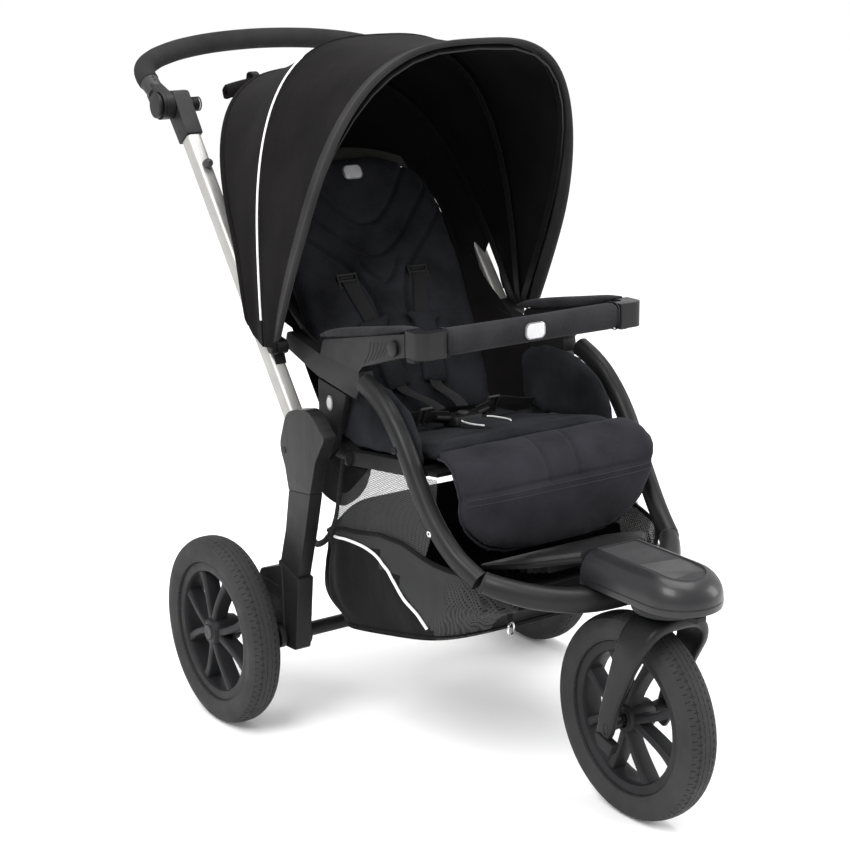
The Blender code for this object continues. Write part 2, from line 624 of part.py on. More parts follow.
PANEL_START = radians(2.2)
SEAM = 0.0014
BOW_T = 0.0022
CANOPY_PIN_R = 0.004
make_bow("canopy_front_bow", RIM, 0.0085, canopy_front_joint)
make_bow("canopy_middle_bow", MIDDLE, 0.0115, canopy_middle_joint)
rear_bow = make_bow("canopy_rear_bow", REAR, 0.0140, push_joint, hole=False)
rim_line, middle_line, rear_line = (hoop(s, 0, PANEL_START) for s in (RIM, MIDDLE, REAR))
front_rows = between(rim_line, middle_line, 4)
make_panel("canopy_front_panel", front_rows, canopy_front_joint)
rear_rows = between(middle_line, rear_line, 3)
rear_rows[0] = [a + (b - a).normalized() * SEAM for a, b in zip(rear_rows[0], rear_rows[1])]
make_panel("canopy_rear_panel", rear_rows, canopy_middle_joint)
foot = (CANOPY.y - FOLD.y) * tube_dir.y + (CANOPY.z - FOLD.z) * tube_dir.z
clamp_outline = [Vector(on_tube(foot + 0.030, -TUBE_HALF - GAP)),
                 Vector(on_tube(foot - 0.022, -TUBE_HALF - GAP))]
clamp_outline += [Vector((CANOPY.y + 0.0110 * cos(a), CANOPY.z + 0.0110 * sin(a)))
                  for a in (radians(285 - 22 * n) for n in range(9))]
for name, sign in SIDES.items():
    clamp = plate(f"canopy_clamp_{name}", clamp_outline, side((0.2070, 0.2250), sign), PLASTIC,
                  push_joint)
    boolean(rear_bow, clamp, "UNION")
    pin = cylinder(f"canopy_pin_{name}", CANOPY, CANOPY_PIN_R, side((0.2200, 0.2325), sign), PLASTIC,
                   push_joint)
    boolean(rear_bow, pin, "UNION")
    head = cylinder(f"canopy_pin_head_{name}", CANOPY, 0.0075, side((0.2318, 0.2345), sign), PLASTIC,
                    push_joint)
    boolean(rear_bow, head, "UNION")

back_top = [p for p in hoop(REAR, 0.022, 0, 20) if abs(p.x) < 0.199]
back_low = [Vector((p.x, 0.166, 0.790)) for p in back_top]
make_panel("canopy_back", between(back_top, back_low, 3), push_joint)

# ---- backrest and harness ----
back_dir = Vector((0, sin(RECLINE), cos(RECLINE)))
back_out = Vector((0, -cos(RECLINE), sin(RECLINE)))     # from the backrest towards the child
BACK_FOOT = Vector((0, -0.123, 0.470))


def on_back(along, out=0.0, x=0.0):
    """A place on the backrest, measured from the foot of its cushion's front face."""
    return BACK_FOOT + back_dir * along + back_out * out + Vector((x, 0, 0))


back_half = [(0.012, 0.148), (0.100, 0.158), (0.220, 0.163), (0.330, 0.160), (0.395, 0.140),
             (0.430, 0.095)]
loft("backrest_cushion", [box_ring(on_back(s, -0.0155), half, 0.0150, (1, 0, 0), back_out, 0.5)
                          for s, half in back_half], SEAT_CLOTH, recline_joint)
loft("backrest_frame", [box_ring(on_back(s, -0.0355), half - 0.012, 0.0040, (1, 0, 0), back_out, 0.3)
                        for s, half in [(0.030, 0.150), *back_half[1:]]], PLASTIC, recline_joint)
strap_half = [(0.052, 0.270, 0.010), (0.048, 0.150, 0.010), (0.034, 0.085, 0.012),
              (0.012, 0.060, 0.014)]
strap = strap_half + [(-x, s, out) for x, s, out in reversed(strap_half)]
strap_rings = []
for n, (x, s, out) in enumerate(strap):
    ahead, behind = strap[min(n + 1, len(strap) - 1)], strap[max(n - 1, 0)]
    along = (on_back(ahead[1], ahead[2], ahead[0]) - on_back(behind[1], behind[2], behind[0])).normalized()
    wide = along.cross(back_out).normalized()
    strap_rings.append(box_ring(on_back(s, out, x), 0.0120, 0.0040, wide, wide.cross(along)))
loft("harness", strap_rings, WEBBING, recline_joint)

# ---- basket ----
# height at the rear and at the front, rear and front place, half width, corner cut
basket_levels = [(0.168, 0.248, -0.142, -0.440, 0.160, 0.045), (0.204, 0.278, -0.100, -0.500, 0.190, 0.060),
                 (0.345, 0.335, -0.095, -0.505, 0.198, 0.060)]
WALL = 0.003


def basket_ring(level, inset, lift=0.0):
    z_rear, z_front, rear, front, half, cut = level
    x0, y0, y1 = half - inset, front + inset, rear - inset
    corners = ((x0, y0 + cut), (x0 - cut, y0), (-x0 + cut, y0), (-x0, y0 + cut),
               (-x0, y1 - cut), (-x0 + cut, y1), (x0 - cut, y1), (x0, y1 - cut))
    slope = (z_front - z_rear) / (front - rear)
    return [Vector((x, y, z_rear + (y - rear) * slope + lift)) for x, y in corners]


rings = [basket_ring(level, 0) for level in basket_levels]
rings += [basket_ring(level, WALL, WALL if n == len(basket_levels) - 1 else 0)
          for n, level in enumerate(reversed(basket_levels))]
loft("basket", rings, CANOPY_CLOTH, layout)

# ---- rear legs, suspension and brake ----
leg_outline = fillet([(-0.1150, 0.4780, 0.014), (-0.1360, 0.5060, 0.014), (-0.1920, 0.5280, 0.014),
                      (-0.2440, 0.4950, 0.006), (-0.2240, 0.4430, 0), (-0.2020, 0.3920, 0),
                      (-0.1870, 0.3430, 0), (-0.1660, 0.2646, 0), (-0.1170, 0.2792, 0),
                      (-0.1340, 0.3330, 0), (-0.1480, 0.3850, 0), (-0.1400, 0.4260, 0.014),
                      (-0.1150, 0.4400, 0.014)], 3)
casting_outline = fillet([(-0.1700, 0.2620, 0.006), (-0.1160, 0.2780, 0.006),
                          (-0.0510, 0.2520, 0.014), (-0.0460, 0.1980, 0.014),
                          (-0.0860, 0.1440, 0.012), (-0.1600, 0.1460, 0.010)])
arm_reach = Vector((0, 0, AXLE_Z)) - SWING
arm_angle = atan2(arm_reach.z, arm_reach.y)
arm_length = hypot(arm_reach.y, arm_reach.z)
swing_outline = []
for centre, radius, turn in ((SWING, 0.017, pi / 2), (Vector((0, 0, AXLE_Z)), 0.015, -pi / 2)):
    for n in range(9):
        angle = arm_angle + turn + pi * n / 8
        swing_outline.append((centre.y + radius * cos(angle), centre.z + radius * sin(angle)))
beam = cylinder("rear_beam", SWING, 0.0110, (-0.2450, 0.2450), SATIN_DARK, leg_joint)
for name, sign in SIDES.items():
    plate(f"rear_leg_{name}", leg_outline, side(LEG_X, sign), SATIN_DARK, leg_joint,
          [circle((FOLD.y, FOLD.z), PIN_R + 0.0005)])
    casting = plate(f"casting_{name}", casting_outline, side((0.2325, 0.2600), sign), SATIN_DARK,
                    leg_joint)
    boolean(beam, casting, "UNION")
    swing_joint = joint(f"suspension_{name}", SWING, leg_joint)
    arm = plate(f"swing_arm_{name}", swing_outline, side((0.2615, 0.2710), sign), SATIN_DARK,
                swing_joint)
    axle = cylinder(f"stub_axle_{name}", (0, 0, AXLE_Z), 0.006, side((0.2650, 0.3185), sign), STEEL,
                    swing_joint)
    boolean(arm, axle, "UNION")
    wheel_joint = joint(f"rear_wheel_{name}_spin", (TRACK_HALF * sign, 0, AXLE_Z), swing_joint)
    hub_place = (TRACK_HALF * sign, 0, AXLE_Z)
    make_tyre(f"rear_tyre_{name}", hub_place, wheel_joint)
    make_rim(f"rear_rim_{name}", hub_place, wheel_joint, sign)
    release = joint(f"wheel_button_{name}_press", (0.3245 * sign, 0, AXLE_Z), wheel_joint)
    cylinder(f"wheel_button_{name}", (0, 0, AXLE_Z), 0.0115, side((0.3215, 0.3265), sign), STEEL,
             release, 20)

pedal_outline = [(SWING.y + 0.017 * cos(a), SWING.z + 0.017 * sin(a))
                 for a in (radians(50 + 26 * n) for n in range(11))]
pedal_outline += [(-0.0500, 0.1600), (-0.0300, 0.1720), (-0.0320, 0.1790), (-0.0520, 0.1720)]
plate("brake_pedal", pedal_outline, (-0.0600, 0.0600), PLASTIC, pedal_joint,
      [circle((SWING.y, SWING.z), 0.0115)])
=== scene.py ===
import json
from math import atan2, cos, exp, pi, radians, sin

import bmesh
import bpy
import numpy as np
from mathutils import Matrix, Vector
from mathutils.bvhtree import BVHTree

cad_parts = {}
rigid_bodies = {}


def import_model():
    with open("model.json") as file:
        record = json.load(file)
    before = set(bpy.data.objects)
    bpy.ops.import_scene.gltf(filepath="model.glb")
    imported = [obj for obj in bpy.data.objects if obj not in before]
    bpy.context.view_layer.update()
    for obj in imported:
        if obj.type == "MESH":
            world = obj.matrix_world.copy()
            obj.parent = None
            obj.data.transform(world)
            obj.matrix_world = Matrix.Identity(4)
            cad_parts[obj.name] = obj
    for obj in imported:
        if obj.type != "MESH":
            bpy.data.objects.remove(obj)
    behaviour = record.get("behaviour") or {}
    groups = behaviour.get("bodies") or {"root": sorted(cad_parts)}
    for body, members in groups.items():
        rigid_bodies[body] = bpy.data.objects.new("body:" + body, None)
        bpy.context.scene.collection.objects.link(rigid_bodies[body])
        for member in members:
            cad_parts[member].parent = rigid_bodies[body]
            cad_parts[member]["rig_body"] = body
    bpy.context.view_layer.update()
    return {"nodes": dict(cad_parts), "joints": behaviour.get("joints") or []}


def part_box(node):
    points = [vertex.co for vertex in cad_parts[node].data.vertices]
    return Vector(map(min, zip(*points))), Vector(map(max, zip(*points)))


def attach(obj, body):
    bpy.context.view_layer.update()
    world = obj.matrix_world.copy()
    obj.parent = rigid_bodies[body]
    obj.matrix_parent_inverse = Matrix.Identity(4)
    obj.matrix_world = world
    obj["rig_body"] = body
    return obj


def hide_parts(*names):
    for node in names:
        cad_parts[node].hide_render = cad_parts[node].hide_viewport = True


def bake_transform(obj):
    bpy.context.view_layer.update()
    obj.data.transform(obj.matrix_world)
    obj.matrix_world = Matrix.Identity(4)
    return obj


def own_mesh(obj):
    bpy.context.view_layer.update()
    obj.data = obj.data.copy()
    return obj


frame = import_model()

nodes = frame["nodes"]
joints = {j["name"]: j for j in frame["joints"]}

# ---- the frame's own measures; pieces are laid out from under the rear axle ----
tyre_low, tyre_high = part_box("rear_tyre_left")
ORIGIN = Vector((0, (tyre_low[1] + tyre_high[1]) / 2, 0))
AXLE_Z = (tyre_low[2] + tyre_high[2]) / 2
TYRE_R = (tyre_high[1] - tyre_low[1]) / 2
TYRE_HALF = (tyre_high[0] - tyre_low[0]) / 2
TRACK_HALF = (tyre_low[0] + tyre_high[0]) / 2
front_low, front_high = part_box("front_tyre")
FRONT_Y = (front_low[1] + front_high[1]) / 2 - ORIGIN.y


def axis_of(joint):
    return Vector(joints[joint]["pos_m"]) - ORIGIN


FOLD = axis_of("push_frame_fold")
HANDLE = axis_of("handle_tilt")
CANOPY = axis_of("canopy_front_fold")
SWING = axis_of("brake_pedal_press")
STEER_Y = axis_of("fork_swivel").y
TUBE_LEAN = atan2(HANDLE.y - FOLD.y, HANDLE.z - FOLD.z)
HANDLE_TILT = radians(56)
RECLINE = radians(29)
X, Y, Z = Vector((1, 0, 0)), Vector((0, 1, 0)), Vector((0, 0, 1))
SIDES = {"right": -1, "left": 1}
CLOTH = 0.0012  # thickness of a single cloth
CORE = 0.0001  # a turned profile starts this far from its axis

# ---- camera ----
CAMERA_AT = Vector((-1.6134, -2.505, 1.2135))
CAMERA_YAW, CAMERA_DOWN, CAMERA_ROLL = 0.595365, 0.259093, -0.01306
camera = bpy.data.objects.new("camera", bpy.data.cameras.new("camera"))
bpy.context.scene.collection.objects.link(camera)
camera.data.lens = 81.74
camera.data.sensor_width = 36
forward = Vector((sin(CAMERA_YAW) * cos(CAMERA_DOWN), cos(CAMERA_YAW) * cos(CAMERA_DOWN),
                  -sin(CAMERA_DOWN)))
right = Vector((cos(CAMERA_YAW), -sin(CAMERA_YAW), 0))
up = right.cross(forward)
right, up = (right * cos(CAMERA_ROLL) + up * sin(CAMERA_ROLL),
             up * cos(CAMERA_ROLL) - right * sin(CAMERA_ROLL))
camera.matrix_world = (Matrix.Translation(CAMERA_AT + ORIGIN)
                       @ Matrix((right, up, -forward)).transposed().to_4x4())
bpy.context.scene.camera = camera


# ---- materials ----
def shader(name, colour, roughness, metallic=0.0, **sockets):
    made = bpy.data.materials.new(name)
    made.use_nodes = True
    surface = made.node_tree.nodes["Principled BSDF"]
    surface.inputs["Base Color"].default_value = (*colour, 1)
    surface.inputs["Roughness"].default_value = roughness
    surface.inputs["Metallic"].default_value = metallic
    for socket, value in sockets.items():
        surface.inputs[socket.replace("_", " ")].default_value = value
    return made


def node(look, kind, **inputs):
    made = look.node_tree.nodes.new(kind)
    for socket, value in inputs.items():
        name = socket.replace("_", " ")
        if isinstance(value, bpy.types.NodeSocket):
            look.node_tree.links.new(value, made.inputs[name])
        elif name in made.inputs:
            made.inputs[name].default_value = value
        else:
            setattr(made, socket, value)
    return made


def place(look, stretch=(1, 1, 1), turn=(0, 0, 0)):
    """Object coordinates, stretched and turned."""
    where = node(look, "ShaderNodeTexCoord")
    moved = node(look, "ShaderNodeMapping", Vector=where.outputs["Object"])
    moved.inputs["Scale"].default_value = stretch
    moved.inputs["Rotation"].default_value = turn
    return moved.outputs["Vector"]


def noisy(look, scale, detail=2.0, stretch=(1, 1, 1)):
    return node(look, "ShaderNodeTexNoise", Vector=place(look, stretch), Scale=scale,
                Detail=detail).outputs["Fac"]


def ramp(look, value, low, high, colours):
    """Colour that changes from the first to the second over a span of the value."""
    made = node(look, "ShaderNodeValToRGB", Fac=value)
    stops = made.color_ramp.elements
    stops[0].position, stops[1].position = low, high
    for stop, colour in zip(stops, colours):
        stop.color = (*colour, 1)
    return made.outputs["Color"]


def spread(look, noise, low, high):
    """Stretch the middle of a noise over a range."""
    return node(look, "ShaderNodeMapRange", Value=noise, From_Min=0.3, From_Max=0.7,
                To_Min=low, To_Max=high).outputs["Result"]


def wire(look, socket, value):
    look.node_tree.links.new(value, look.node_tree.nodes["Principled BSDF"].inputs[socket])


def bump(look, height, strength, distance, before=None):
    made = node(look, "ShaderNodeBump", Height=height, Strength=strength, Distance=distance)
    if before:
        look.node_tree.links.new(before, made.inputs["Normal"])
    wire(look, "Normal", made.outputs["Normal"])
    return made.outputs["Normal"]


def add_values(look, a, b, operation="ADD"):
    made = node(look, "ShaderNodeMath", operation=operation)
    for socket, value in zip(made.inputs, (a, b)):
        if isinstance(value, (int, float)):
            socket.default_value = value
        else:
            look.node_tree.links.new(value, socket)
    return made.outputs["Value"]


def waves(look, pitch, turn):
    """A ridge every pitch metres, along a turned X axis."""
    made = node(look, "ShaderNodeTexWave", Vector=place(look, turn=turn), Scale=pi / (10 * pitch))
    made.wave_profile = "SIN"
    return made.outputs["Fac"]


def plastic(name, colour, roughness, grain=0.05, coat=0.0, metallic=0.0, streaks=(1, 1, 1),
            shine=0.3):
    """Moulded or painted surface: fine grain, uneven gloss, faint rubbed patches."""
    look = shader(name, colour, roughness, metallic, Coat_Weight=coat, Coat_Roughness=0.08,
                  Specular_IOR_Level=shine)
    patches = noisy(look, 9.0, 4.0, streaks)
    lighter = tuple(min(1.0, c * 1.35 + 0.002) for c in colour)
    wire(look, "Base Color", ramp(look, patches, 0.35, 0.7, (colour, lighter)))
    wire(look, "Roughness", spread(look, noisy(look, 35.0, 5.0, streaks), roughness * 0.85,
                                   min(1.0, roughness * 1.2)))
    bump(look, noisy(look, 1500.0, 1.0), grain, 0.0004)
    return look


def cloth(name, dark, light, pitch=0.0009, sheen=0.3, blotch=0.5, crease=0.0):
    """Woven cloth: two crossed yarn directions, mixed yarn colours and soft large unevenness."""
    look = shader(name, dark, 0.88, Sheen_Weight=sheen * 0.3, Sheen_Roughness=0.45,
                  Specular_IOR_Level=0.06,
                  Sheen_Tint=(*[min(1, c * 8 + 0.25) for c in light], 1))
    flecks = noisy(look, 950.0, 1.0)
    yarn = noisy(look, 420.0, 3.0, (1, 1, 3))
    mixed = add_values(look, add_values(look, flecks, yarn, "MULTIPLY"), noisy(look, 14.0, 3.0))
    wire(look, "Base Color", ramp(look, mixed, 0.5, 1.05 - 0.2 * blotch, (dark, light)))
    across, along, deep = (waves(look, pitch, turn) for turn in
                           ((0, 0, 0), (0, radians(90), 0), (0, 0, radians(90))))
    weave = add_values(look, add_values(look, across, along), deep)
    first = bump(look, weave, 0.2, 0.00035)
    if crease:
        bump(look, noisy(look, 28.0, 2.0), crease, 0.004, first)
    return look


def webbing(name, colour):
    look = shader(name, colour, 0.75, Sheen_Weight=0.05, Specular_IOR_Level=0.15)
    ribs = waves(look, 0.0016, (0, 0, 0))
    wire(look, "Base Color", ramp(look, ribs, 0.2, 0.9, (colour, tuple(c * 1.9 for c in colour))))
    bump(look, add_values(look, ribs, waves(look, 0.0012, (0, radians(90), 0))), 0.45, 0.0004)
    return look


def make_net(name, colour, pitch, gap):
    """A see-through net: the holes are cut by two crossed thread directions."""
    look = shader(name, colour, 0.7)
    holes = add_values(look, waves(look, pitch, (radians(30), 0, radians(90))),
                       waves(look, pitch, (radians(-30), 0, radians(90))), "MAXIMUM")
    wire(look, "Alpha", add_values(look, holes, gap, "GREATER_THAN"))
    return look


LOOKS = {
    "tyre": plastic("tyre_rubber", (0.022, 0.022, 0.022), 0.7, 0.25, shine=0.16),
    "rim": plastic("rim_plastic", (0.01, 0.01, 0.011), 0.48, 0.12, shine=0.14),
    "frame": plastic("satin_frame", (0.0095, 0.0095, 0.01), 0.4, 0.04, metallic=0.25, shine=0.2),
    "frame_brushed": plastic("brushed_frame", (0.013, 0.013, 0.0133), 0.38, 0.03, metallic=0.4,
                             shine=0.22, streaks=(1, 14, 1)),
    "gloss": plastic("gloss_nose", (0.008, 0.008, 0.009), 0.36, 0.02, coat=0.12),
    "matt": plastic("matt_plate", (0.02, 0.02, 0.021), 0.62, 0.3, shine=0.16),
    "plastic": plastic("black_plastic", (0.0065, 0.0065, 0.007), 0.46, 0.15, shine=0.18),
    "grey_plastic": plastic("grey_plastic", (0.024, 0.024, 0.025), 0.45, 0.12, shine=0.22),
    "silver": plastic("anodised_tube", (0.36, 0.355, 0.345), 0.48, 0.02, metallic=0.75,
                      streaks=(6, 1, 1)),
    "steel": plastic("bright_steel", (0.5, 0.5, 0.49), 0.26, 0.01, metallic=1.0),
    "brass": plastic("brass_rivet", (0.6, 0.42, 0.16), 0.28, 0.01, metallic=1.0),
    "foam": plastic("grip_foam", (0.015, 0.0145, 0.015), 0.85, 0.55, shine=0.12),
    "canopy": cloth("canopy_cloth", (0.003, 0.0026, 0.0029), (0.0058, 0.005, 0.0055), 0.0008,
                    crease=0.25),
    "lining": cloth("canopy_lining", (0.003, 0.003, 0.0032), (0.006, 0.006, 0.0062), 0.0008,
                    sheen=0.1),
    "binding": cloth("binding_tape", (0.014, 0.0135, 0.014), (0.026, 0.025, 0.0255), 0.001,
                     sheen=0.35),
    "seat": cloth("seat_melange", (0.005, 0.0053, 0.0064), (0.019, 0.0197, 0.0232), 0.001,
                  sheen=0.22, blotch=0.3, crease=0.2),
    "flap": cloth("leg_cloth", (0.0085, 0.0085, 0.0105), (0.019, 0.019, 0.023), 0.0009,
                  sheen=0.28, crease=0.3),
    "grey_cloth": cloth("sleeve_cloth", (0.0085, 0.0085, 0.0098), (0.022, 0.022, 0.024), 0.001,
                        sheen=0.35, crease=0.15),
    "band": cloth("lining_band", (0.022, 0.0215, 0.0205), (0.055, 0.053, 0.05), 0.002),
    "basket": cloth("basket_cloth", (0.0036, 0.0035, 0.0037), (0.008, 0.0077, 0.008), 0.0008,
                    crease=0.5),
    "strap": webbing("strap_webbing", (0.006, 0.006, 0.0062)),
    "thread": shader("thread", (0.022, 0.022, 0.024), 0.7),
    "dark_thread": shader("dark_thread", (0.003, 0.003, 0.003), 0.8),
    "piping": shader("reflective_piping", (0.72, 0.72, 0.72), 0.4, Sheen_Weight=0.3),
    "badge": shader("badge_face", (0.46, 0.46, 0.47), 0.35, Coat_Weight=0.6),
    "badge_edge": shader("badge_edge", (0.2, 0.2, 0.21), 0.25, 0.6),
    "net": make_net("seat_net", (0.045, 0.045, 0.047), 0.0028, 0.86),
    "mesh": make_net("basket_mesh", (0.012, 0.012, 0.013), 0.0036, 0.55),
}


# ---- making pieces ----
def piece(name, shape, look, body, stands_for=(), smooth=35, more_looks=()):
    """Put a mesh or bmesh laid out from the rear axle into the frame, on a body."""
    if isinstance(shape, bmesh.types.BMesh):
        mesh = bpy.data.meshes.new(name)
        shape.to_mesh(mesh)
        shape.free()
    else:
        mesh = shape
    mesh.transform(Matrix.Translation(ORIGIN))
    obj = bpy.data.objects.new(name, mesh)
    bpy.context.scene.collection.objects.link(obj)
    for one in (look, *more_looks):
        mesh.materials.append(LOOKS[one])
    if smooth:
        mesh.shade_smooth()
        mesh.set_sharp_from_angle(angle=radians(smooth))
    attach(obj, body)
    if stands_for:
        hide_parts(*([stands_for] if isinstance(stands_for, str) else stands_for))
    return obj


def smooth_path(stations, count=8):
    """Catmull-Rom points through stations of any equal length."""
    out = []
    last = len(stations) - 1
    for n in range(last):
        p0, p1 = stations[max(n - 1, 0)], stations[n]
        p2, p3 = stations[n + 1], stations[min(n + 2, last)]
        for k in range(count):
            t = k / count
            out.append(tuple(
                0.5 * (2 * b + (c - a) * t + (2 * a - 5 * b + 4 * c - d) * t * t
                       + (3 * b - a - 3 * c + d) * t**3)
                for a, b, c, d in zip(p0, p1, p2, p3)))
    out.append(tuple(stations[-1]))
    return out


def rounded(half_a, half_b, radius, steps=4):
    """Points round a rectangle with rounded corners."""
    radius = min(radius, half_a * 0.999, half_b * 0.999)
    points = []
    for turn, sa, sb in ((0, 1, 1), (90, -1, 1), (180, -1, -1), (270, 1, -1)):
        for k in range(steps + 1):
            a = radians(turn + 90 * k / steps)
            points.append((sa * (half_a - radius) + radius * cos(a),
                           sb * (half_b - radius) + radius * sin(a)))
    return points


def skin(rings, closed_path=False):
    """A closed surface through equal rings of points."""
    shape = bmesh.new()
    rows = [[shape.verts.new(p) for p in ring] for ring in rings]
    pairs = list(zip(rows, rows[1:])) + ([(rows[-1], rows[0])] if closed_path else [])
    for low, high in pairs:
        for n in range(len(low)):
            after = (n + 1) % len(low)
            shape.faces.new((low[n], low[after], high[after], high[n]))
    if not closed_path:
        shape.faces.new(rows[0][::-1])
        shape.faces.new(rows[-1])
    bmesh.ops.recalc_face_normals(shape, faces=shape.faces)
    return shape


def frames(points, side):
    """For each point of a path: the point, a side axis near the given one, and the third axis."""
    out = []
    for n, point in enumerate(points):
        ahead, behind = points[min(n + 1, len(points) - 1)], points[max(n - 1, 0)]
        along = (ahead - behind).normalized()
        axis = side(n) if callable(side) else side
        across = (axis - along * along.dot(axis)).normalized()
        out.append((point, across, along.cross(across)))
    return out


def sweep(stations, side=X, corner=0.35, count=8, steps=4, round_ends=0.0):
    """Rounded-rectangle sections along stations of (x, y, z, half along side, half across)."""
    path = smooth_path(stations, count)
    points = [Vector(p[:3]) for p in path]
    rings, ends = [], []
    for (point, a, b), (*_, half_a, half_b) in zip(frames(points, side), path):
        rings.append([point + a * u + b * v
                      for u, v in rounded(half_a, half_b, corner * min(half_a, half_b) * 2, steps)])
    if round_ends:
        for index, behind in ((0, 1), (-1, -2)):
            outward = (points[index] - points[behind]).normalized()
            middle = points[index]
            extra = []
            for k in range(1, 4):
                a = radians(30 * k)
                extra.append([middle + (p - middle) * (1 - (1 - cos(a)) * round_ends / max(
                    path[index][3], path[index][4])) + outward * round_ends * sin(a)
                    for p in rings[index]])
            ends.append(extra)
        rings = ends[0][::-1] + rings + ends[1]
    return skin(rings)


def tube(points, radius, segments=16, closed=False):
    """A round tube through points; the radius may be a list."""
    reference = Z if abs((points[-1] - points[0]).normalized().dot(Z)) < 0.9 else X
    rings = []
    for n, point in enumerate(points):
        if closed:
            ahead, behind = points[(n + 1) % len(points)], points[n - 1]
        else:
            ahead, behind = points[min(n + 1, len(points) - 1)], points[max(n - 1, 0)]
        along = (ahead - behind).normalized()
        across = reference - along * along.dot(reference)
        if across.length < 0.05:
            across = along.orthogonal()
        across.normalize()
        reference = across
        third = along.cross(across)
        r = radius[n] if isinstance(radius, (list, tuple)) else radius
        rings.append([point + across * r * cos(2 * pi * k / segments)
                      + third * r * sin(2 * pi * k / segments) for k in range(segments)])
    return skin(rings, closed)


def lathe(profile, centre, segments=96, axis="X", flip=1):
    """A closed profile of (along, radius) turned about an axis."""
    rings = []
    for n in range(segments):
        a = 2 * pi * n / segments
        if axis == "X":
            rings.append([centre + Vector((s * flip, r * cos(a), r * sin(a))) for s, r in profile])
        else:
            rings.append([centre + Vector((r * cos(a), r * sin(a), s * flip)) for s, r in profile])
    return skin(rings, closed_path=True)


def fillet(corners, steps=5):
    """Round each (u, v, radius) corner of an outline."""
    outline = []
    for n, (u, v, radius) in enumerate(corners):
        here = Vector((u, v))
        back = Vector(corners[n - 1][:2]) - here
        ahead = Vector(corners[(n + 1) % len(corners)][:2]) - here
        if not radius:
            outline.append(here)
            continue
        half = back.angle(ahead) / 2
        reach = min(radius * abs(cos(half) / sin(half)), back.length * 0.48, ahead.length * 0.48)
        start, end = here + back.normalized() * reach, here + ahead.normalized() * reach
        for k in range(steps + 1):
            t = k / steps
            outline.append(start * (1 - t) ** 2 + here * 2 * t * (1 - t) + end * t**2)
    return outline


def circle(u, v, radius, count=32):
    return [Vector((u + radius * cos(2 * pi * n / count), v + radius * sin(2 * pi * n / count)))
            for n in range(count)]


def slab(outline, low, high, edge=0.0015, holes=(), plane="YZ", steps=3):
    """An outline with thickness and rounded edges, as a mesh."""
    curve = bpy.data.curves.new("outline", "CURVE")
    curve.dimensions = "2D"
    curve.fill_mode = "BOTH"
    low, high = sorted((low, high))
    curve.extrude = (high - low) / 2
    for loop in (outline, *holes):
        spline = curve.splines.new("POLY")
        spline.points.add(len(loop) - 1)
        spline.use_cyclic_u = True
        for point, (u, v) in zip(spline.points, loop):
            point.co = (u, v, 0, 1)
    obj = bpy.data.objects.new("outline", curve)
    bpy.context.scene.collection.objects.link(obj)
    bpy.context.view_layer.update()
    mesh = bpy.data.meshes.new_from_object(obj.evaluated_get(bpy.context.evaluated_depsgraph_get()))
    bpy.data.objects.remove(obj)
    bpy.data.curves.remove(curve)
    shape = bmesh.new()
    shape.from_mesh(mesh)
    bpy.data.meshes.remove(mesh)
    bmesh.ops.remove_doubles(shape, verts=shape.verts, dist=0.00001)
    bmesh.ops.dissolve_limit(shape, angle_limit=radians(1), verts=shape.verts, edges=shape.edges)
    if edge:
        sharp = [e for e in shape.edges if e.is_manifold and e.calc_face_angle(0) > radians(50)
                 and abs(e.verts[0].co.z - e.verts[1].co.z) < 1e-6]
        bmesh.ops.bevel(shape, geom=sharp, offset=edge, segments=steps, profile=0.6,
                        affect="EDGES", clamp_overlap=True)
    middle = (low + high) / 2
    if plane == "XY":
        shape.transform(Matrix.Translation((0, 0, middle)))
    else:
        shape.transform(Matrix(((0, 0, 1, middle), (1, 0, 0, 0), (0, 1, 0, 0), (0, 0, 0, 1))))
    bmesh.ops.recalc_face_normals(shape, faces=shape.faces)
    return shape


def merged(*shapes):
    """Several bmeshes as one."""
    joined = shapes[0]
    for shape in shapes[1:]:
        mesh = bpy.data.meshes.new("part")
        shape.to_mesh(mesh)
        shape.free()
        joined.from_mesh(mesh)
        bpy.data.meshes.remove(mesh)
    return joined


def grid_sheet(rows, thickness, inner_slot=0):
    """A sheet through rows of points, thickened inward, with its inside in another slot."""
    shape = bmesh.new()
    verts = [[shape.verts.new(p) for p in row] for row in rows]
    for a, b in zip(verts, verts[1:]):
        for n in range(len(a) - 1):
            shape.faces.new((a[n], a[n + 1], b[n + 1], b[n]))
    shape.normal_update()
    inner = {v: shape.verts.new(v.co - v.normal * thickness) for row in verts for v in row}
    for face in list(shape.faces):
        made = shape.faces.new([inner[v] for v in reversed(face.verts)])
        made.material_index = inner_slot
    for edge in [e for e in shape.edges if len(e.link_faces) == 1 and e.verts[0] in inner
                 and e.verts[1] in inner]:
        loop = edge.link_loops[0]
        a, b = loop.vert, loop.link_loop_next.vert
        shape.faces.new((b, a, inner[a], inner[b]))
    return shape


def lerp(a, b, t):
    return a + (b - a) * t


def step01(value, low, high):
    t = min(1.0, max(0.0, (value - low) / (high - low)))
    return t * t * (3 - 2 * t)


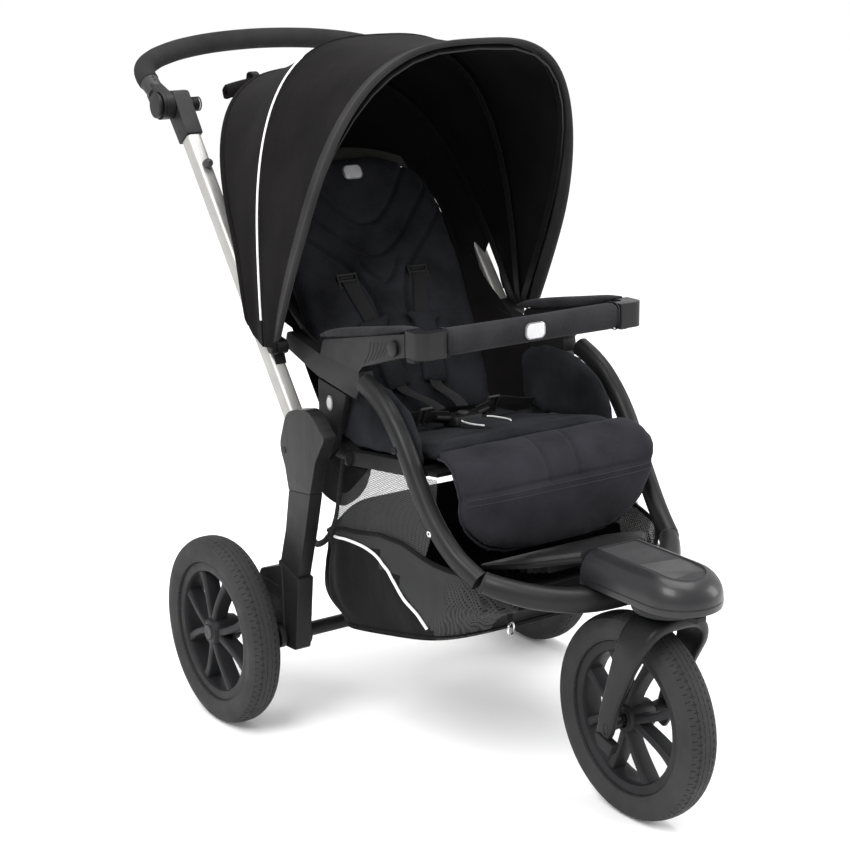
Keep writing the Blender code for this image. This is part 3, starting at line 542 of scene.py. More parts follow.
def stitches(name, points, normals, look, body, spacing=0.0042, length=0.0028, radius=0.00035):
    """A row of raised thread stitches along a path that lies on a surface."""
    shape = bmesh.new()
    travelled, due = 0.0, spacing / 2
    for n in range(len(points) - 1):
        step = points[n + 1] - points[n]
        size = step.length
        if size < 1e-7:
            continue
        along = step / size
        while due <= travelled + size:
            t = (due - travelled) / size
            middle = points[n].lerp(points[n + 1], t)
            normal = normals[n].lerp(normals[n + 1], t).normalized()
            side = along.cross(normal).normalized()
            ring_points = []
            for s, scale in ((-0.5, 0.35), (-0.25, 1.0), (0.25, 1.0), (0.5, 0.35)):
                base = middle + along * length * s + normal * radius * 0.35
                ring_points.append([base + side * radius * scale, base + normal * radius * scale,
                                    base - side * radius * scale, base - normal * radius * scale])
            rows = [[shape.verts.new(p) for p in ring] for ring in ring_points]
            for low, high in zip(rows, rows[1:]):
                for k in range(4):
                    shape.faces.new((low[k], low[(k + 1) % 4], high[(k + 1) % 4], high[k]))
            shape.faces.new(rows[0][::-1])
            shape.faces.new(rows[-1])
            due += spacing
        travelled += size
    bmesh.ops.recalc_face_normals(shape, faces=shape.faces)
    return piece(name, shape, look, body)


# ---- wheels ----
TREAD_PITCHES, STEPS_PER_PITCH = 84, 10
TREAD_DEPTH = 0.0014


def groove(x, step):
    """How deep the tread is cut, 0 to 1, at a place across the tyre and along one pitch."""
    side = abs(x)
    if abs(side - 0.0042) < 0.0004 and step not in (0, 1):
        return 0.7
    if abs(side - 0.0115) < 0.0004 and step not in (4, 5):
        return 1.0
    if 0.0085 < side < 0.015 and step == 0:
        return 0.9
    if 0.016 < side < 0.0215 and step == 5:
        return 1.0
    return 0.0


def tyre(name, centre, body, stands_for):
    ribs = [0.0, 0.0034, 0.0038, 0.0042, 0.0046, 0.005, 0.0083, 0.0088, 0.0107, 0.0111, 0.0115,
            0.0119, 0.0123, 0.0147, 0.0152, 0.0158, 0.0163, 0.019, 0.0212, 0.0218]
    half = [(x, TYRE_R - 0.0068 * (x / 0.0218) ** 2.6) for x in ribs]
    wall = [(0.0228, 0.1372), (0.0237, 0.134), (0.0243, 0.13), (TYRE_HALF, 0.1265),
            (0.0247, 0.1262), (0.0247, 0.1248), (0.0244, 0.1245), (0.024, 0.12),
            (0.0231, 0.115), (0.0222, 0.1118), (0.0225, 0.1106), (0.0218, 0.1094),
            (0.02, 0.1088), (0.0165, 0.1088)]
    wall = [(min(x, TYRE_HALF), r) for x, r in wall]
    side = half[1:] + wall
    profile = [(-x, r) for x, r in reversed(side)] + [half[0]] + side
    segments = TREAD_PITCHES * STEPS_PER_PITCH
    rings = []
    for n in range(segments):
        a = 2 * pi * (n + 0.5) / segments
        ring = []
        for x, r in profile:
            if abs(x) <= 0.0216:
                r -= TREAD_DEPTH * groove(x, n % STEPS_PER_PITCH)
            ring.append(centre + Vector((x, r * cos(a), r * sin(a))))
        rings.append(ring)
    return piece(name, skin(rings, closed_path=True), "tyre", body, stands_for, smooth=28)


def rim(name, centre, body, stands_for, outward):
    """A barrel, a dished hub and eight spokes in four spreading pairs."""
    barrel = [(0.0172, 0.1084), (0.018, 0.1074), (0.0182, 0.099), (0.017, 0.095),
              (0.0145, 0.0935), (0.008, 0.0925), (-0.008, 0.0925), (-0.0145, 0.0935),
              (-0.017, 0.095), (-0.0182, 0.099), (-0.018, 0.1074), (-0.0172, 0.1084),
              (-0.0125, 0.103), (0.0125, 0.103)]
    hub = [(0.0232, 0.013), (0.0238, 0.0142), (0.0236, 0.0178), (0.0215, 0.02),
           (0.012, 0.0225), (-0.012, 0.0225), (-0.0215, 0.02), (-0.0238, 0.017),
           (-0.0238, 0.007), (0.019, 0.007), (0.019, 0.013)]
    shapes = [lathe(barrel, centre, 128, flip=outward), lathe(hub, centre, 64, flip=outward)]
    for n in range(4):
        for lean in (-1, 1):
            stations = []
            for t in (0.0, 0.25, 0.5, 0.75, 1.0):
                reach = lerp(0.0195, 0.0945, t)
                angle = pi / 2 + n * pi / 2 + lean * lerp(radians(11), radians(23.5), t**0.75)
                dish = lerp(0.0075, 0.0015, step01(t, 0, 1)) * outward
                wide = lerp(0.0052, 0.0062, t) + 0.0016 * (abs(2 * t - 1) ** 3)
                stations.append((centre.x + dish, centre.y + reach * cos(angle),
                                 centre.z + reach * sin(angle),
                                 lerp(0.0115, 0.013, t), wide))
            shapes.append(sweep(stations, X, 0.28, 5, 3))
    return piece(name, merged(*shapes), "rim", body, stands_for)


def whole(half, middle):
    """Half a line of stations, its middle one and the mirror image of the half."""
    return half + [middle] + [(-x, *rest) for x, *rest in half[::-1]]


def both_sides(points):
    """A line of points followed by its mirror image in reverse, so that it can close."""
    return points + [Vector((-p.x, p.y, p.z)) for p in points[::-1]]


def arc(y, z, across, up, angles):
    """Points of an oval in the side view."""
    return [Vector((y + across * cos(a), z + up * sin(a))) for a in angles]


def place_box(name):
    """The low and high corners of a CAD node in layout coordinates."""
    return [Vector(c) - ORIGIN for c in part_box(name)]


def sideways(name):
    """How far from the middle plane a CAD node begins and ends."""
    low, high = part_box(name)
    return sorted((abs(low[0]), abs(high[0])))


wheels = {"front": (Vector((0, FRONT_Y, AXLE_Z)), "front_wheel", 1)}
for s, sign in SIDES.items():
    wheels[f"rear_{s}"] = (Vector((TRACK_HALF * sign, 0, AXLE_Z)), f"rear_wheel_{s}", sign)
for which, (centre, body, outward) in wheels.items():
    rear = which.startswith("rear")
    suffix = which.replace("rear_", "")
    tyre(f"{which}_tread", centre, body, f"rear_tyre_{suffix}" if rear else "front_tyre")
    rim(f"{which}_spokes", centre, body, f"rear_rim_{suffix}" if rear else "front_rim",
        outward if rear else -1)
    ring_profile = [(0.0233, 0.012), (0.0245, 0.0122), (0.0247, 0.0138), (0.0238, 0.015),
                    (0.0232, 0.015)]
    for turn in ((outward,) if rear else (1, -1)):
        piece(f"{which}_hub_ring_{'in' if turn == 1 else 'out'}",
              lathe(ring_profile, centre, 48, flip=turn), "frame_brushed" if rear else "rim", body)
for s, sign in SIDES.items():
    middle = TRACK_HALF * sign
    inner, outer = (x - TRACK_HALF for x in sideways(f"wheel_button_{s}"))
    button = [(inner, 0.0), (inner, 0.0112), (outer - 0.0008, 0.0112), (outer - 0.0001, 0.01),
              (outer - 0.0003, 0.006), (outer - 0.001, 0.0)]
    cap = lathe([(a, max(r, CORE)) for a, r in button], Vector((middle, 0, AXLE_Z)), 40, flip=sign)
    piece(f"wheel_button_cap_{s}", cap, "grey_plastic", f"wheel_button_{s}", f"wheel_button_{s}")

# ---- front fork ----
blade = [(-0.052, -0.623, 0.124, 0.012, 0.005), (-0.0525, -0.63, 0.142, 0.015, 0.0058),
         (-0.0535, -0.64, 0.175, 0.016, 0.006), (-0.0545, -0.656, 0.215, 0.0185, 0.0062),
         (-0.055, -0.672, 0.252, 0.0225, 0.0064), (-0.052, -0.682, 0.276, 0.0265, 0.007),
         (-0.043, -0.687, 0.2935, 0.029, 0.0078), (-0.025, STEER_Y, 0.3035, 0.031, 0.0085)]
arch = whole(blade, (0, STEER_Y, 0.3055, 0.0315, 0.009))
piece("fork_arch", sweep(arch, Y, 0.42, 8, 5, 0.003), "frame", "fork", "front_fork")
axle = [(-0.05, CORE), (-0.05, 0.0052), (0.05, 0.0052), (0.05, CORE)]
piece("front_axle_rod", lathe(axle, Vector((0, FRONT_Y, AXLE_Z)), 32), "steel", "fork",
      "front_axle")
for s, sign in SIDES.items():
    boss = [(0.03, CORE), (0.03, 0.0105), (0.046, 0.0125), (0.047, CORE)]
    piece(f"fork_boss_{s}", lathe(boss, Vector((0, FRONT_Y, AXLE_Z)), 32, flip=sign), "frame",
          "fork")
    slot_ring = []
    for k in range(28):
        a = 2 * pi * k / 28
        stretch = 0.0045 if sin(a) > 0 else -0.0045
        slot_ring.append(Vector((0.0586 * sign, -0.6355 + 0.0042 * cos(a),
                                 0.142 + 0.0042 * sin(a) + stretch)))
    piece(f"fork_slot_mark_{s}", tube(slot_ring, 0.0007, 8, closed=True), "dark_thread", "fork")
lever = fillet([(-0.652, 0.1235, 0.003), (-0.618, 0.133, 0.004), (-0.613, 0.127, 0.003),
                (-0.62, 0.113, 0.004), (-0.644, 0.106, 0.004)])
piece("axle_lever", slab(lever, -0.06, -0.0465, 0.002), "plastic", "fork")

cup = [(0.0007, 0.009), (0.0007, 0.04), (0.002, 0.044), (0.005, 0.0468), (0.01, 0.0478),
       (0.014, 0.0479), (0.0146, 0.0465), (0.0146, 0.009)]
piece("steering_cup", lathe(cup, Vector((0, STEER_Y, 0.3165)), 72, axis="Z"), "matt", "main_frame",
      "steering_collar")
low, high = place_box("swivel_lock")
lock = fillet([(-0.0118, high.y, 0.001), (0.0118, high.y, 0.001), (0.0088, low.y, 0.003),
               (-0.0088, low.y, 0.003)])
piece("swivel_lock_key", slab(lock, low.z, high.z, 0.0015, plane="XY"), "plastic", "swivel_lock",
      "swivel_lock")


# ---- nose, yoke and footrest ----
NOSE_HALF, NOSE_ROUND_Y, NOSE_REAR_Y = 0.0575, -0.7135, -0.5765


def nose_outline(inset):
    """Plan outline of the nose, pulled in by an inset."""
    count = 26
    half = NOSE_HALF - inset
    rear = NOSE_REAR_Y - inset * 0.35
    points = [Vector((half, lerp(rear, NOSE_ROUND_Y, k / 10), 0)) for k in range(10)]
    points += [Vector((half * cos(a), NOSE_ROUND_Y - half * sin(a), 0))
               for a in (pi * k / count for k in range(count + 1))]
    points += [Vector((-half, lerp(NOSE_ROUND_Y, rear, (k + 1) / 10), 0)) for k in range(10)]
    return points


def nose_drop(p):
    """How far the top of the nose falls away at its front."""
    return 0.013 * step01(-p.y, 0.7, 0.772) * 0.55


def nose_shape():
    top = 0.3815
    layers = [(0.003, 0.3335), (0.0008, 0.334), (0.0, 0.336), (0.0, 0.3425),
              (0.001, 0.343), (0.0012, 0.3438), (0.0002, 0.3444), (0.0004, 0.352),
              (0.0018, 0.36), (0.0048, 0.368), (0.009, 0.3742), (0.014, 0.3785),
              (0.019, 0.3808), (0.0225, top), (0.024, top), (0.0246, 0.3808), (0.025, 0.3803)]
    return skin([[Vector((p.x, p.y, z - nose_drop(p) * step01(z, 0.345, top)))
                  for p in nose_outline(inset)] for inset, z in layers])


piece("nose_shell", nose_shape(), "gloss", "main_frame", "nose_housing", smooth=50)
plate_ring = nose_outline(0.0252)


def on_nose(p, lift=0.0):
    return Vector((p.x, p.y, 0.3804 - nose_drop(p) + lift))


plate = skin([[on_nose(p, lift) for p in plate_ring] for lift in (-0.002, 0.0001)])
piece("nose_plate", plate, "matt", "main_frame")
rim_ring = [on_nose(p, 0.001) for p in nose_outline(0.0238)]
piece("nose_plate_rim", tube(rim_ring, 0.0009, 8, closed=True), "matt", "main_frame")
band_ring = [Vector((p.x, p.y, 0.3434)) for p in nose_outline(0.0004)]
piece("nose_band", tube(band_ring, 0.0006, 6, closed=True), "gloss", "main_frame")

arm = [(0.164, -0.506, 0.3368, 0.014, 0.015), (0.15, -0.524, 0.331, 0.015, 0.016),
       (0.125, -0.548, 0.323, 0.0165, 0.017), (0.09, -0.573, 0.317, 0.018, 0.017),
       (0.05, -0.592, 0.315, 0.019, 0.017)]
yoke = whole(arm, (0, -0.598, 0.315, 0.019, 0.017))
piece("yoke_casting", sweep(yoke, Y, 0.45, 8, 5), "frame", "main_frame", "front_yoke")
for s, sign in SIDES.items():
    collar = [(0.1662 * sign, -0.503, 0.3378, 0.0137, 0.015),
              (0.1642 * sign, -0.5055, 0.3366, 0.0137, 0.015)]
    piece(f"tube_joint_{s}", sweep(collar, X, 0.42, 1, 5), "dark_thread", "main_frame")

rest_stations = [(0.0, -0.427, 0.3285, 0.113, 0.0035), (0.0, -0.45, 0.335, 0.115, 0.005),
                 (0.0, -0.49, 0.347, 0.113, 0.0065), (0.0, -0.525, 0.3575, 0.103, 0.0075),
                 (0.0, -0.556, 0.366, 0.076, 0.0075), (0.0, -0.5765, 0.3715, 0.056, 0.008)]
piece("footrest_plate", sweep(rest_stations, X, 0.4, 8, 3), "plastic", "main_frame", "footrest")
for s, sign in SIDES.items():
    edge = [Vector(((p[3] + 0.0006) * sign, p[1], p[2] + 0.002))
            for p in smooth_path(rest_stations, 6)]
    piece(f"footrest_edge_{s}", tube(edge, 0.0013, 8), "plastic", "main_frame")
ribs = []
for k in range(7):
    y = -0.445 - 0.016 * k
    z = 0.3255 + (-0.445 - y) * 0.29
    ribs.append(slab([Vector((y, z - 0.008)), Vector((y - 0.003, z - 0.008)),
                      Vector((y - 0.003, z + 0.004)), Vector((y, z + 0.004))], -0.085, 0.085, 0))
ribs.append(slab(fillet([(-0.44, 0.314, 0.002), (-0.56, 0.344, 0.002), (-0.56, 0.336, 0.002),
                         (-0.44, 0.308, 0.002)]), -0.0015, 0.0015, 0))
piece("footrest_ribs", merged(*ribs), "plastic", "main_frame")

# ---- front tubes ----
tube_line = [(0.195, -0.26, 0.573), (0.195, -0.29, 0.5605), (0.195, -0.318, 0.5435),
             (0.195, -0.347, 0.5165), (0.195, -0.371, 0.4855), (0.194, -0.392, 0.4515),
             (0.1905, -0.423, 0.406), (0.182, -0.46, 0.366), (0.1695, -0.4998, 0.3392)]
for s, sign in SIDES.items():
    stations = [(x * sign, y, z, 0.0125, 0.0142) for x, y, z in tube_line]
    piece(f"front_rail_{s}", sweep(stations, X, 0.44, 10, 5), "frame", "main_frame",
          f"front_tube_{s}")
    screw = [(0.0, CORE), (0.0, 0.0052), (0.0016, 0.005), (0.0022, 0.004), (0.0022, 0.0022),
             (0.0012, 0.002), (0.0012, CORE)]
    for name, stretch, look, at in (
            ("bolt", 1, "plastic", (0.2072 * sign, -0.353, 0.4955)),
            ("stud", 1.6, "steel", (0.1985 * sign, -0.426, 0.393))):
        piece(f"rail_{name}_{s}", lathe([(a * stretch, r) for a, r in screw], Vector(at), 24,
                                        flip=sign), look, "main_frame")

# ---- seat frame, side plates, armrests ----
rail = fillet([(-0.108, 0.442, 0.008), (-0.108, 0.468, 0.008), (-0.15, 0.468, 0.01),
               (-0.2, 0.456, 0.01), (-0.362, 0.476, 0.006), (-0.364, 0.454, 0.006),
               (-0.2, 0.434, 0.01)])
shapes = [slab([Vector((-0.135, 0.4368)), Vector((-0.135, 0.4312)), Vector((-0.393, 0.4584)),
                Vector((-0.393, 0.464))], -0.164, 0.164, 0.001)]
for sign in SIDES.values():
    shapes.append(slab(rail, 0.164 * sign, 0.18 * sign, 0.002))
for y, z, radius in ((FOLD.y, FOLD.z, 0.0098), (-0.35, 0.4566, 0.0078)):
    bar = [(-0.166, CORE), (-0.166, radius), (0.166, radius), (0.166, CORE)]
    shapes.append(lathe(bar, Vector((0, y, z)), 32))
piece("seat_tray", merged(*shapes), "plastic", "main_frame", "seat_frame")

arm_outline = fillet([(-0.3655, 0.629, 0.001), (-0.3655, 0.6612, 0.001), (-0.15, 0.617, 0.012),
                      (-0.142, 0.5935, 0.004), (-0.048, 0.613, 0.008), (-0.04, 0.588, 0.008),
                      (-0.13, 0.56, 0), (-0.237, 0.544, 0.006), (-0.2505, 0.566, 0.005),
                      (-0.246, 0.586, 0.004), (-0.258, 0.596, 0.006)])
plate_outline = fillet([(-0.133, 0.556, 0.004), (-0.211, 0.545, 0.006), (-0.177, 0.46, 0.012),
                        (-0.155, 0.434, 0.012), (-0.108, 0.434, 0.012), (-0.106, 0.468, 0.012),
                        (-0.133, 0.495, 0.006)])
for s, sign in SIDES.items():
    piece(f"armrest_shell_{s}", slab(arm_outline, 0.1725 * sign, 0.1962 * sign, 0.0028), "frame",
          "main_frame", f"armrest_{s}")
    grips = []
    for k in range(6):
        line = [Vector((0.1963 * sign, y, z)) for y, z, *_ in smooth_path(
            [(-0.262 - 0.0098 * k, 0.601 + 0.004 * k), (-0.2745 - 0.0098 * k, 0.618 + 0.0033 * k),
             (-0.279 - 0.0098 * k, 0.6345 + 0.0015 * k)], 6)]
        grips.append(tube(line, 0.0007, 6))
    piece(f"armrest_ribs_{s}", merged(*grips), "frame", "main_frame")
    seam = [Vector((0.1966 * sign, -0.3658, 0.629)), Vector((0.1966 * sign, -0.3658, 0.6612))]
    piece(f"armrest_seam_{s}", tube(seam, 0.0005, 6), "dark_thread", "main_frame")
    pin = lathe([(0.0, CORE), (0.0, 0.0059), (0.06, 0.0059), (0.0615, 0.0045), (0.0615, CORE)],
                Vector((0.194 * sign, FOLD.y, FOLD.z)), 24, flip=sign)
    cheek = slab(plate_outline, 0.1862 * sign, 0.1958 * sign, 0.0015)
    piece(f"side_cheek_{s}", merged(cheek, pin), "plastic", "main_frame", f"side_plate_{s}")
    oval = [Vector((y, z)) for y, z in ((-0.166 + 0.0085 * cos(a) * (1 - 0.1 * sin(a)),
                                         0.525 + 0.0115 * sin(a))
                                        for a in (2 * pi * k / 36 for k in range(36)))]
    piece(f"cheek_badge_{s}", slab(oval, 0.1955 * sign, 0.1972 * sign, 0.0005), "badge_edge",
          "main_frame")
    inner_oval = [Vector((-0.166, 0.525)) + (p - Vector((-0.166, 0.525))) * 0.72 for p in oval]
    piece(f"cheek_badge_face_{s}", slab(inner_oval, 0.1968 * sign, 0.1977 * sign, 0.0003), "badge",
          "main_frame")
    knob = [(0.0, CORE), (0.0, 0.012), (0.0028, 0.0115), (0.004, 0.009), (0.004, CORE)]
    piece(f"rail_knob_{s}", lathe(knob, Vector((0.1802 * sign, -0.187, 0.444)), 32, flip=sign),
          "plastic", "main_frame")
    button = [(0.0, CORE), (0.0, 0.0112), (0.0026, 0.0112), (0.0034, 0.0098), (0.0031, CORE)]
    near, _ = sideways(f"bumper_button_{s}")
    cap = lathe(button, Vector((near * sign, -0.34, 0.637)), 32, flip=sign)
    piece(f"bumper_button_cap_{s}", cap, "frame", f"bumper_button_{s}", f"bumper_button_{s}")

# ---- push frame ----
tube_dir = Vector((0, sin(TUBE_LEAN), cos(TUBE_LEAN)))
tube_across = Vector((0, cos(TUBE_LEAN), -sin(TUBE_LEAN)))


def on_tube(along, across=0.0):
    place_at = FOLD + tube_dir * along + tube_across * across
    return place_at.y, place_at.z


TUBE_X = (0.206, 0.23)
tube_mid = sum(TUBE_X) / 2
REACH = (HANDLE - FOLD).length
socket_outline = [Vector(on_tube(0.0398, -0.0158)), Vector(on_tube(0.0398, 0.0158))]
socket_outline += [Vector(on_tube(0.021 * cos(a), 0.021 * sin(a)))
                   for a in (radians(50 + 13 * n) for n in range(21))]
bracket_outline = fillet([(*on_tube(0.5325, -0.0163), 0.002), (*on_tube(0.5325, 0.0163), 0.002),
                          (*on_tube(REACH + 0.012, 0.0195), 0.01),
                          (*on_tube(REACH + 0.021, 0.006), 0.008),
                          (*on_tube(REACH + 0.021, -0.008), 0.008),
                          (*on_tube(REACH + 0.012, -0.0195), 0.008)])
for s, sign in SIDES.items():
    stations = [(tube_mid * sign, *on_tube(a), 0.0119, 0.0139) for a in (0.0405, 0.2, 0.4, 0.5318)]
    piece(f"silver_tube_{s}", sweep(stations, X, 0.26, 2, 5), "silver", "push_frame",
          f"push_tube_{s}")
    piece(f"tube_socket_{s}", slab(socket_outline, 0.2003 * sign, 0.2308 * sign, 0.003),
          "plastic", "push_frame", f"push_socket_{s}")
    piece(f"bracket_shell_{s}", slab(bracket_outline, 0.2037 * sign, 0.2323 * sign, 0.0035),
          "frame", "push_frame", f"handle_bracket_{s}")
    boss = [(0.188, CORE), (0.188, 0.009), (0.1905, 0.01), (0.204, 0.01), (0.204, CORE)]
    boss_at = Vector((0, *on_tube(REACH - 0.004, -0.004)))
    piece(f"bracket_boss_{s}", lathe(boss, boss_at, 32, flip=sign), "frame", "push_frame")
    ribs = []
    for k in range(4):
        ring = [(0.186 + 0.0035 * k, 0.0102), (0.186 + 0.0035 * k, 0.0114),
                (0.188 + 0.0035 * k, 0.0114), (0.188 + 0.0035 * k, 0.0102)]
        ribs.append(lathe(ring, boss_at, 32, flip=sign))
    piece(f"bracket_ribs_{s}", merged(*ribs), "plastic", "push_frame")
    screw_at = Vector((0.2321 * sign, *on_tube(0.548, 0.004)))
    dot = [(0.0, CORE), (0.0, 0.003), (0.0005, 0.003), (0.0005, 0.0018), (0.0002, CORE)]
    piece(f"bracket_screw_{s}", lathe(dot, screw_at, 20, flip=sign), "plastic", "push_frame")
    clip = [(tube_mid * sign, *on_tube(0.478, -0.0145), 0.006, 0.006),
            (tube_mid * sign, *on_tube(0.474, -0.023), 0.0072, 0.0072),
            (tube_mid * sign, *on_tube(0.47, -0.029), 0.004, 0.004)]
    piece(f"tube_clip_{s}", sweep(clip, X, 0.48, 6, 5), "grey_plastic", "push_frame")

# ---- handle ----
loop_dir = Vector((0, sin(HANDLE_TILT), cos(HANDLE_TILT)))
loop_across = Vector((0, cos(HANDLE_TILT), -sin(HANDLE_TILT)))


def on_loop(x, reach):
    return Vector((x, 0, 0)) + HANDLE + loop_dir * reach


loop_half = [(0.243, 0.058), (0.2432, 0.07), (0.2395, 0.086), (0.231, 0.0985),
             (0.217, 0.1095), (0.195, 0.1215), (0.15, 0.137), (0.085, 0.149)]
loop_points = [on_loop(*p) for p in smooth_path(whole(loop_half, (0, 0.154)), 8)]
grip_r = [0.015, 0.0163, *[0.0165] * (len(loop_points) - 4), 0.0163, 0.015]
piece("grip_foam", tube(loop_points, grip_r, 32), "foam", "handle", "handlebar")
for s, sign in SIDES.items():
    collar = [on_loop(0.243 * sign, r) for r in (0.03, 0.033, 0.05, 0.0572, 0.059)]
    piece(f"grip_collar_{s}", tube(collar, [0.0128, 0.0138, 0.0148, 0.0152, 0.014], 32),
          "grey_plastic", "handle")
    for k, r in enumerate((0.0455, 0.0525)):
        head_at = on_loop(0.243 * sign, r) + loop_across * -0.0152
        piece(f"collar_screw_{s}_{k}", tube([head_at, head_at - loop_across * 0.0004], 0.0016, 12),
              "dark_thread", "handle")
    hull = arc(HANDLE.y, HANDLE.z, 0.0222, 0.0222, (radians(124 + 15 * k) for k in range(13)))
    hull += [(on_loop(0, 0.04) + loop_across * e).yz for e in (0.0125, -0.0125)]
    socket = slab(hull, 0.247 * sign, 0.2528 * sign, 0.001,
                  [circle(HANDLE.y, HANDLE.z, 0.0203, 48)])
    knuckle = merged(slab(hull, 0.2334 * sign, 0.2474 * sign, 0.002), socket)
    piece(f"knuckle_shell_{s}", knuckle, "frame", "handle", f"handle_knuckle_{s}")
    near, far = sideways(f"handle_button_{s}")
    oval = arc(HANDLE.y, HANDLE.z, 0.0185, 0.0195, (2 * pi * k / 48 for k in range(48)))
    cap = slab(oval, (near - 0.003) * sign, far * sign, 0.0022, steps=4)
    piece(f"handle_cap_{s}", cap, "frame", f"handle_button_{s}", f"handle_button_{s}")

# ---- rear legs, suspension and brake ----
knee_outline = fillet([(-0.115, 0.46, 0.034), (-0.138, 0.517, 0.04), (-0.201, 0.53, 0.034),
                       (-0.244, 0.495, 0.006), (-0.217, 0.456, 0.05), (-0.2, 0.4036, 0.001),
                       (-0.1385, 0.396, 0.001), (-0.13, 0.43, 0.05)], 12)
shin_outline = fillet([(-0.1998, 0.403, 0.001), (-0.1835, 0.343, 0.05), (-0.1585, 0.2646, 0),
                       (-0.108, 0.2792, 0), (-0.126, 0.333, 0.05), (-0.1387, 0.3955, 0.001)], 8)
sleeve_outline = fillet([(-0.163, 0.2632, 0.002), (-0.106, 0.28, 0.002), (-0.099, 0.25, 0.004),
                         (-0.101, 0.162, 0.004), (-0.116, 0.145, 0.004), (-0.149, 0.147, 0.006)])
block_outline = fillet([(-0.12, 0.276, 0.004), (-0.051, 0.252, 0.014), (-0.046, 0.198, 0.014),
                        (-0.086, 0.145, 0.012), (-0.12, 0.145, 0.004)])
drum = [(0.0, CORE), (0.0, 0.0195), (0.0012, 0.0212), (0.01, 0.0212), (0.0112, 0.0195),
        (0.0112, CORE)]
arm_reach = Vector((0, 0, AXLE_Z)) - SWING
arm_angle = atan2(arm_reach.z, arm_reach.y)
arm_outline = []
for centre, radius, turn in ((SWING, 0.017, pi / 2), (Vector((0, 0, AXLE_Z)), 0.015, -pi / 2)):
    arm_outline += arc(centre.y, centre.z, radius, radius,
                       (arm_angle + turn + pi * n / 16 for n in range(17)))
castings = [tube([Vector((x, SWING.y, SWING.z)) for x in (-0.2345, 0.2345)], 0.011, 24)]
for s, sign in SIDES.items():
    piece(f"leg_knee_{s}", slab(knee_outline, 0.2327 * sign, 0.2545 * sign, 0.005, steps=4),
          "frame_brushed", "rear_legs", f"rear_leg_{s}")
    piece(f"leg_shin_{s}", slab(shin_outline, 0.2328 * sign, 0.2543 * sign, 0.005, steps=4),
          "frame", "rear_legs")
    castings.append(slab(sleeve_outline, 0.2305 * sign, 0.2565 * sign, 0.0035))
    castings.append(slab(block_outline, 0.2335 * sign, 0.2598 * sign, 0.003))
    for k in range(4):
        z = 0.176 + 0.02 * k
        rib = [Vector((-0.106, z)), Vector((-0.054 - 0.002 * k, z + 0.004)),
               Vector((-0.054 - 0.002 * k, z + 0.0075)), Vector((-0.106, z + 0.0035))]
        castings.append(slab(rib, 0.23 * sign, 0.2604 * sign, 0.0008))
    castings.append(lathe(drum, Vector((0.2195 * sign, SWING.y, SWING.z)), 48, flip=sign))
    bolt = [(0.0, CORE), (0.0, 0.0052), (0.002, 0.0046), (0.003, 0.003), (0.003, CORE)]
    piece(f"casting_rivet_{s}", lathe(bolt, Vector((0.229 * sign, -0.145, 0.199)), 24, flip=-sign),
          "brass", "rear_legs")
    piece(f"drum_rivet_{s}", lathe(bolt, Vector((0.2192 * sign, SWING.y, SWING.z)), 24, flip=-sign),
          "plastic", "rear_legs")
    outer = slab(arm_outline, 0.2615 * sign, 0.271 * sign, 0.002)
    boss = lathe([(0.26, 0.0062), (0.26, 0.0128), (0.2745, 0.0118), (0.2745, 0.0062)],
                 Vector((0, 0, AXLE_Z)), 32, flip=sign)
    arm_middle = Vector((SWING.y / 2, (SWING.z + AXLE_Z) / 2))
    arm_rib = slab([p.lerp(arm_middle, 0.35) for p in arm_outline], 0.269 * sign, 0.2722 * sign,
                   0.001)
    rod_in = lathe([(0.265, CORE), (0.265, 0.006), (0.3183, 0.006), (0.3183, CORE)],
                   Vector((0, 0, AXLE_Z)), 24, flip=sign)
    piece(f"swing_arm_shell_{s}", merged(outer, boss, arm_rib, rod_in), "frame", f"swing_arm_{s}",
          f"swing_arm_{s}")
piece("beam_and_castings", merged(*castings), "plastic", "rear_legs", "rear_beam")

pedal_side = arc(SWING.y, SWING.z, 0.017, 0.017, (radians(50 + 13 * n) for n in range(21)))
pedal_side += fillet([(-0.062, 0.154, 0.01), (-0.046, 0.162, 0.008), (-0.03, 0.172, 0.002),
                      (-0.032, 0.179, 0.002), (-0.052, 0.172, 0.008)])
pedal = [slab(pedal_side, -0.06, 0.06, 0.003, [circle(SWING.y, SWING.z, 0.0115, 32)])]
for k in range(6):
    y = -0.035 - 0.0042 * k
    z = 0.1788 - 0.0015 * k
    pedal.append(slab([Vector((y, z - 0.002)), Vector((y - 0.002, z - 0.0022)),
                       Vector((y - 0.002, z + 0.0012)), Vector((y, z + 0.0014))],
                      -0.052, 0.052, 0.0004))
piece("pedal_shell", merged(*pedal), "grey_plastic", "brake_pedal", "brake_pedal")

# ---- canopy ----
POWER = 3
RIM = (radians(-25), 0.493, 0.24)
MIDDLE = (radians(6.4), 0.447, 0.2405)
REAR = (radians(33), 0.46, 0.24)
RIM_FORWARD = 0.026
TIPS = [(0.0, -0.092, 0.606), (0.3, -0.082, 0.594), (0.6, -0.07, 0.587), (1.0, -0.053, 0.584),
        (1.4, -0.032, 0.588), (1.7, -0.014, 0.598), (2.0, 0.006, 0.625)]
ACROSS = 96
HOOP_START = radians(2.2)


def hoop_place(hoop, reach, x=0.0, open_out=1.0):
    """A point in a hoop's plane; the rim also stands forward of its own plane."""
    lean = hoop[0]
    forward = RIM_FORWARD * open_out if lean < 0 else 0.0
    return CANOPY + Vector((x, sin(lean) * reach - cos(lean) * forward,
                            cos(lean) * reach - forward * 0.2))


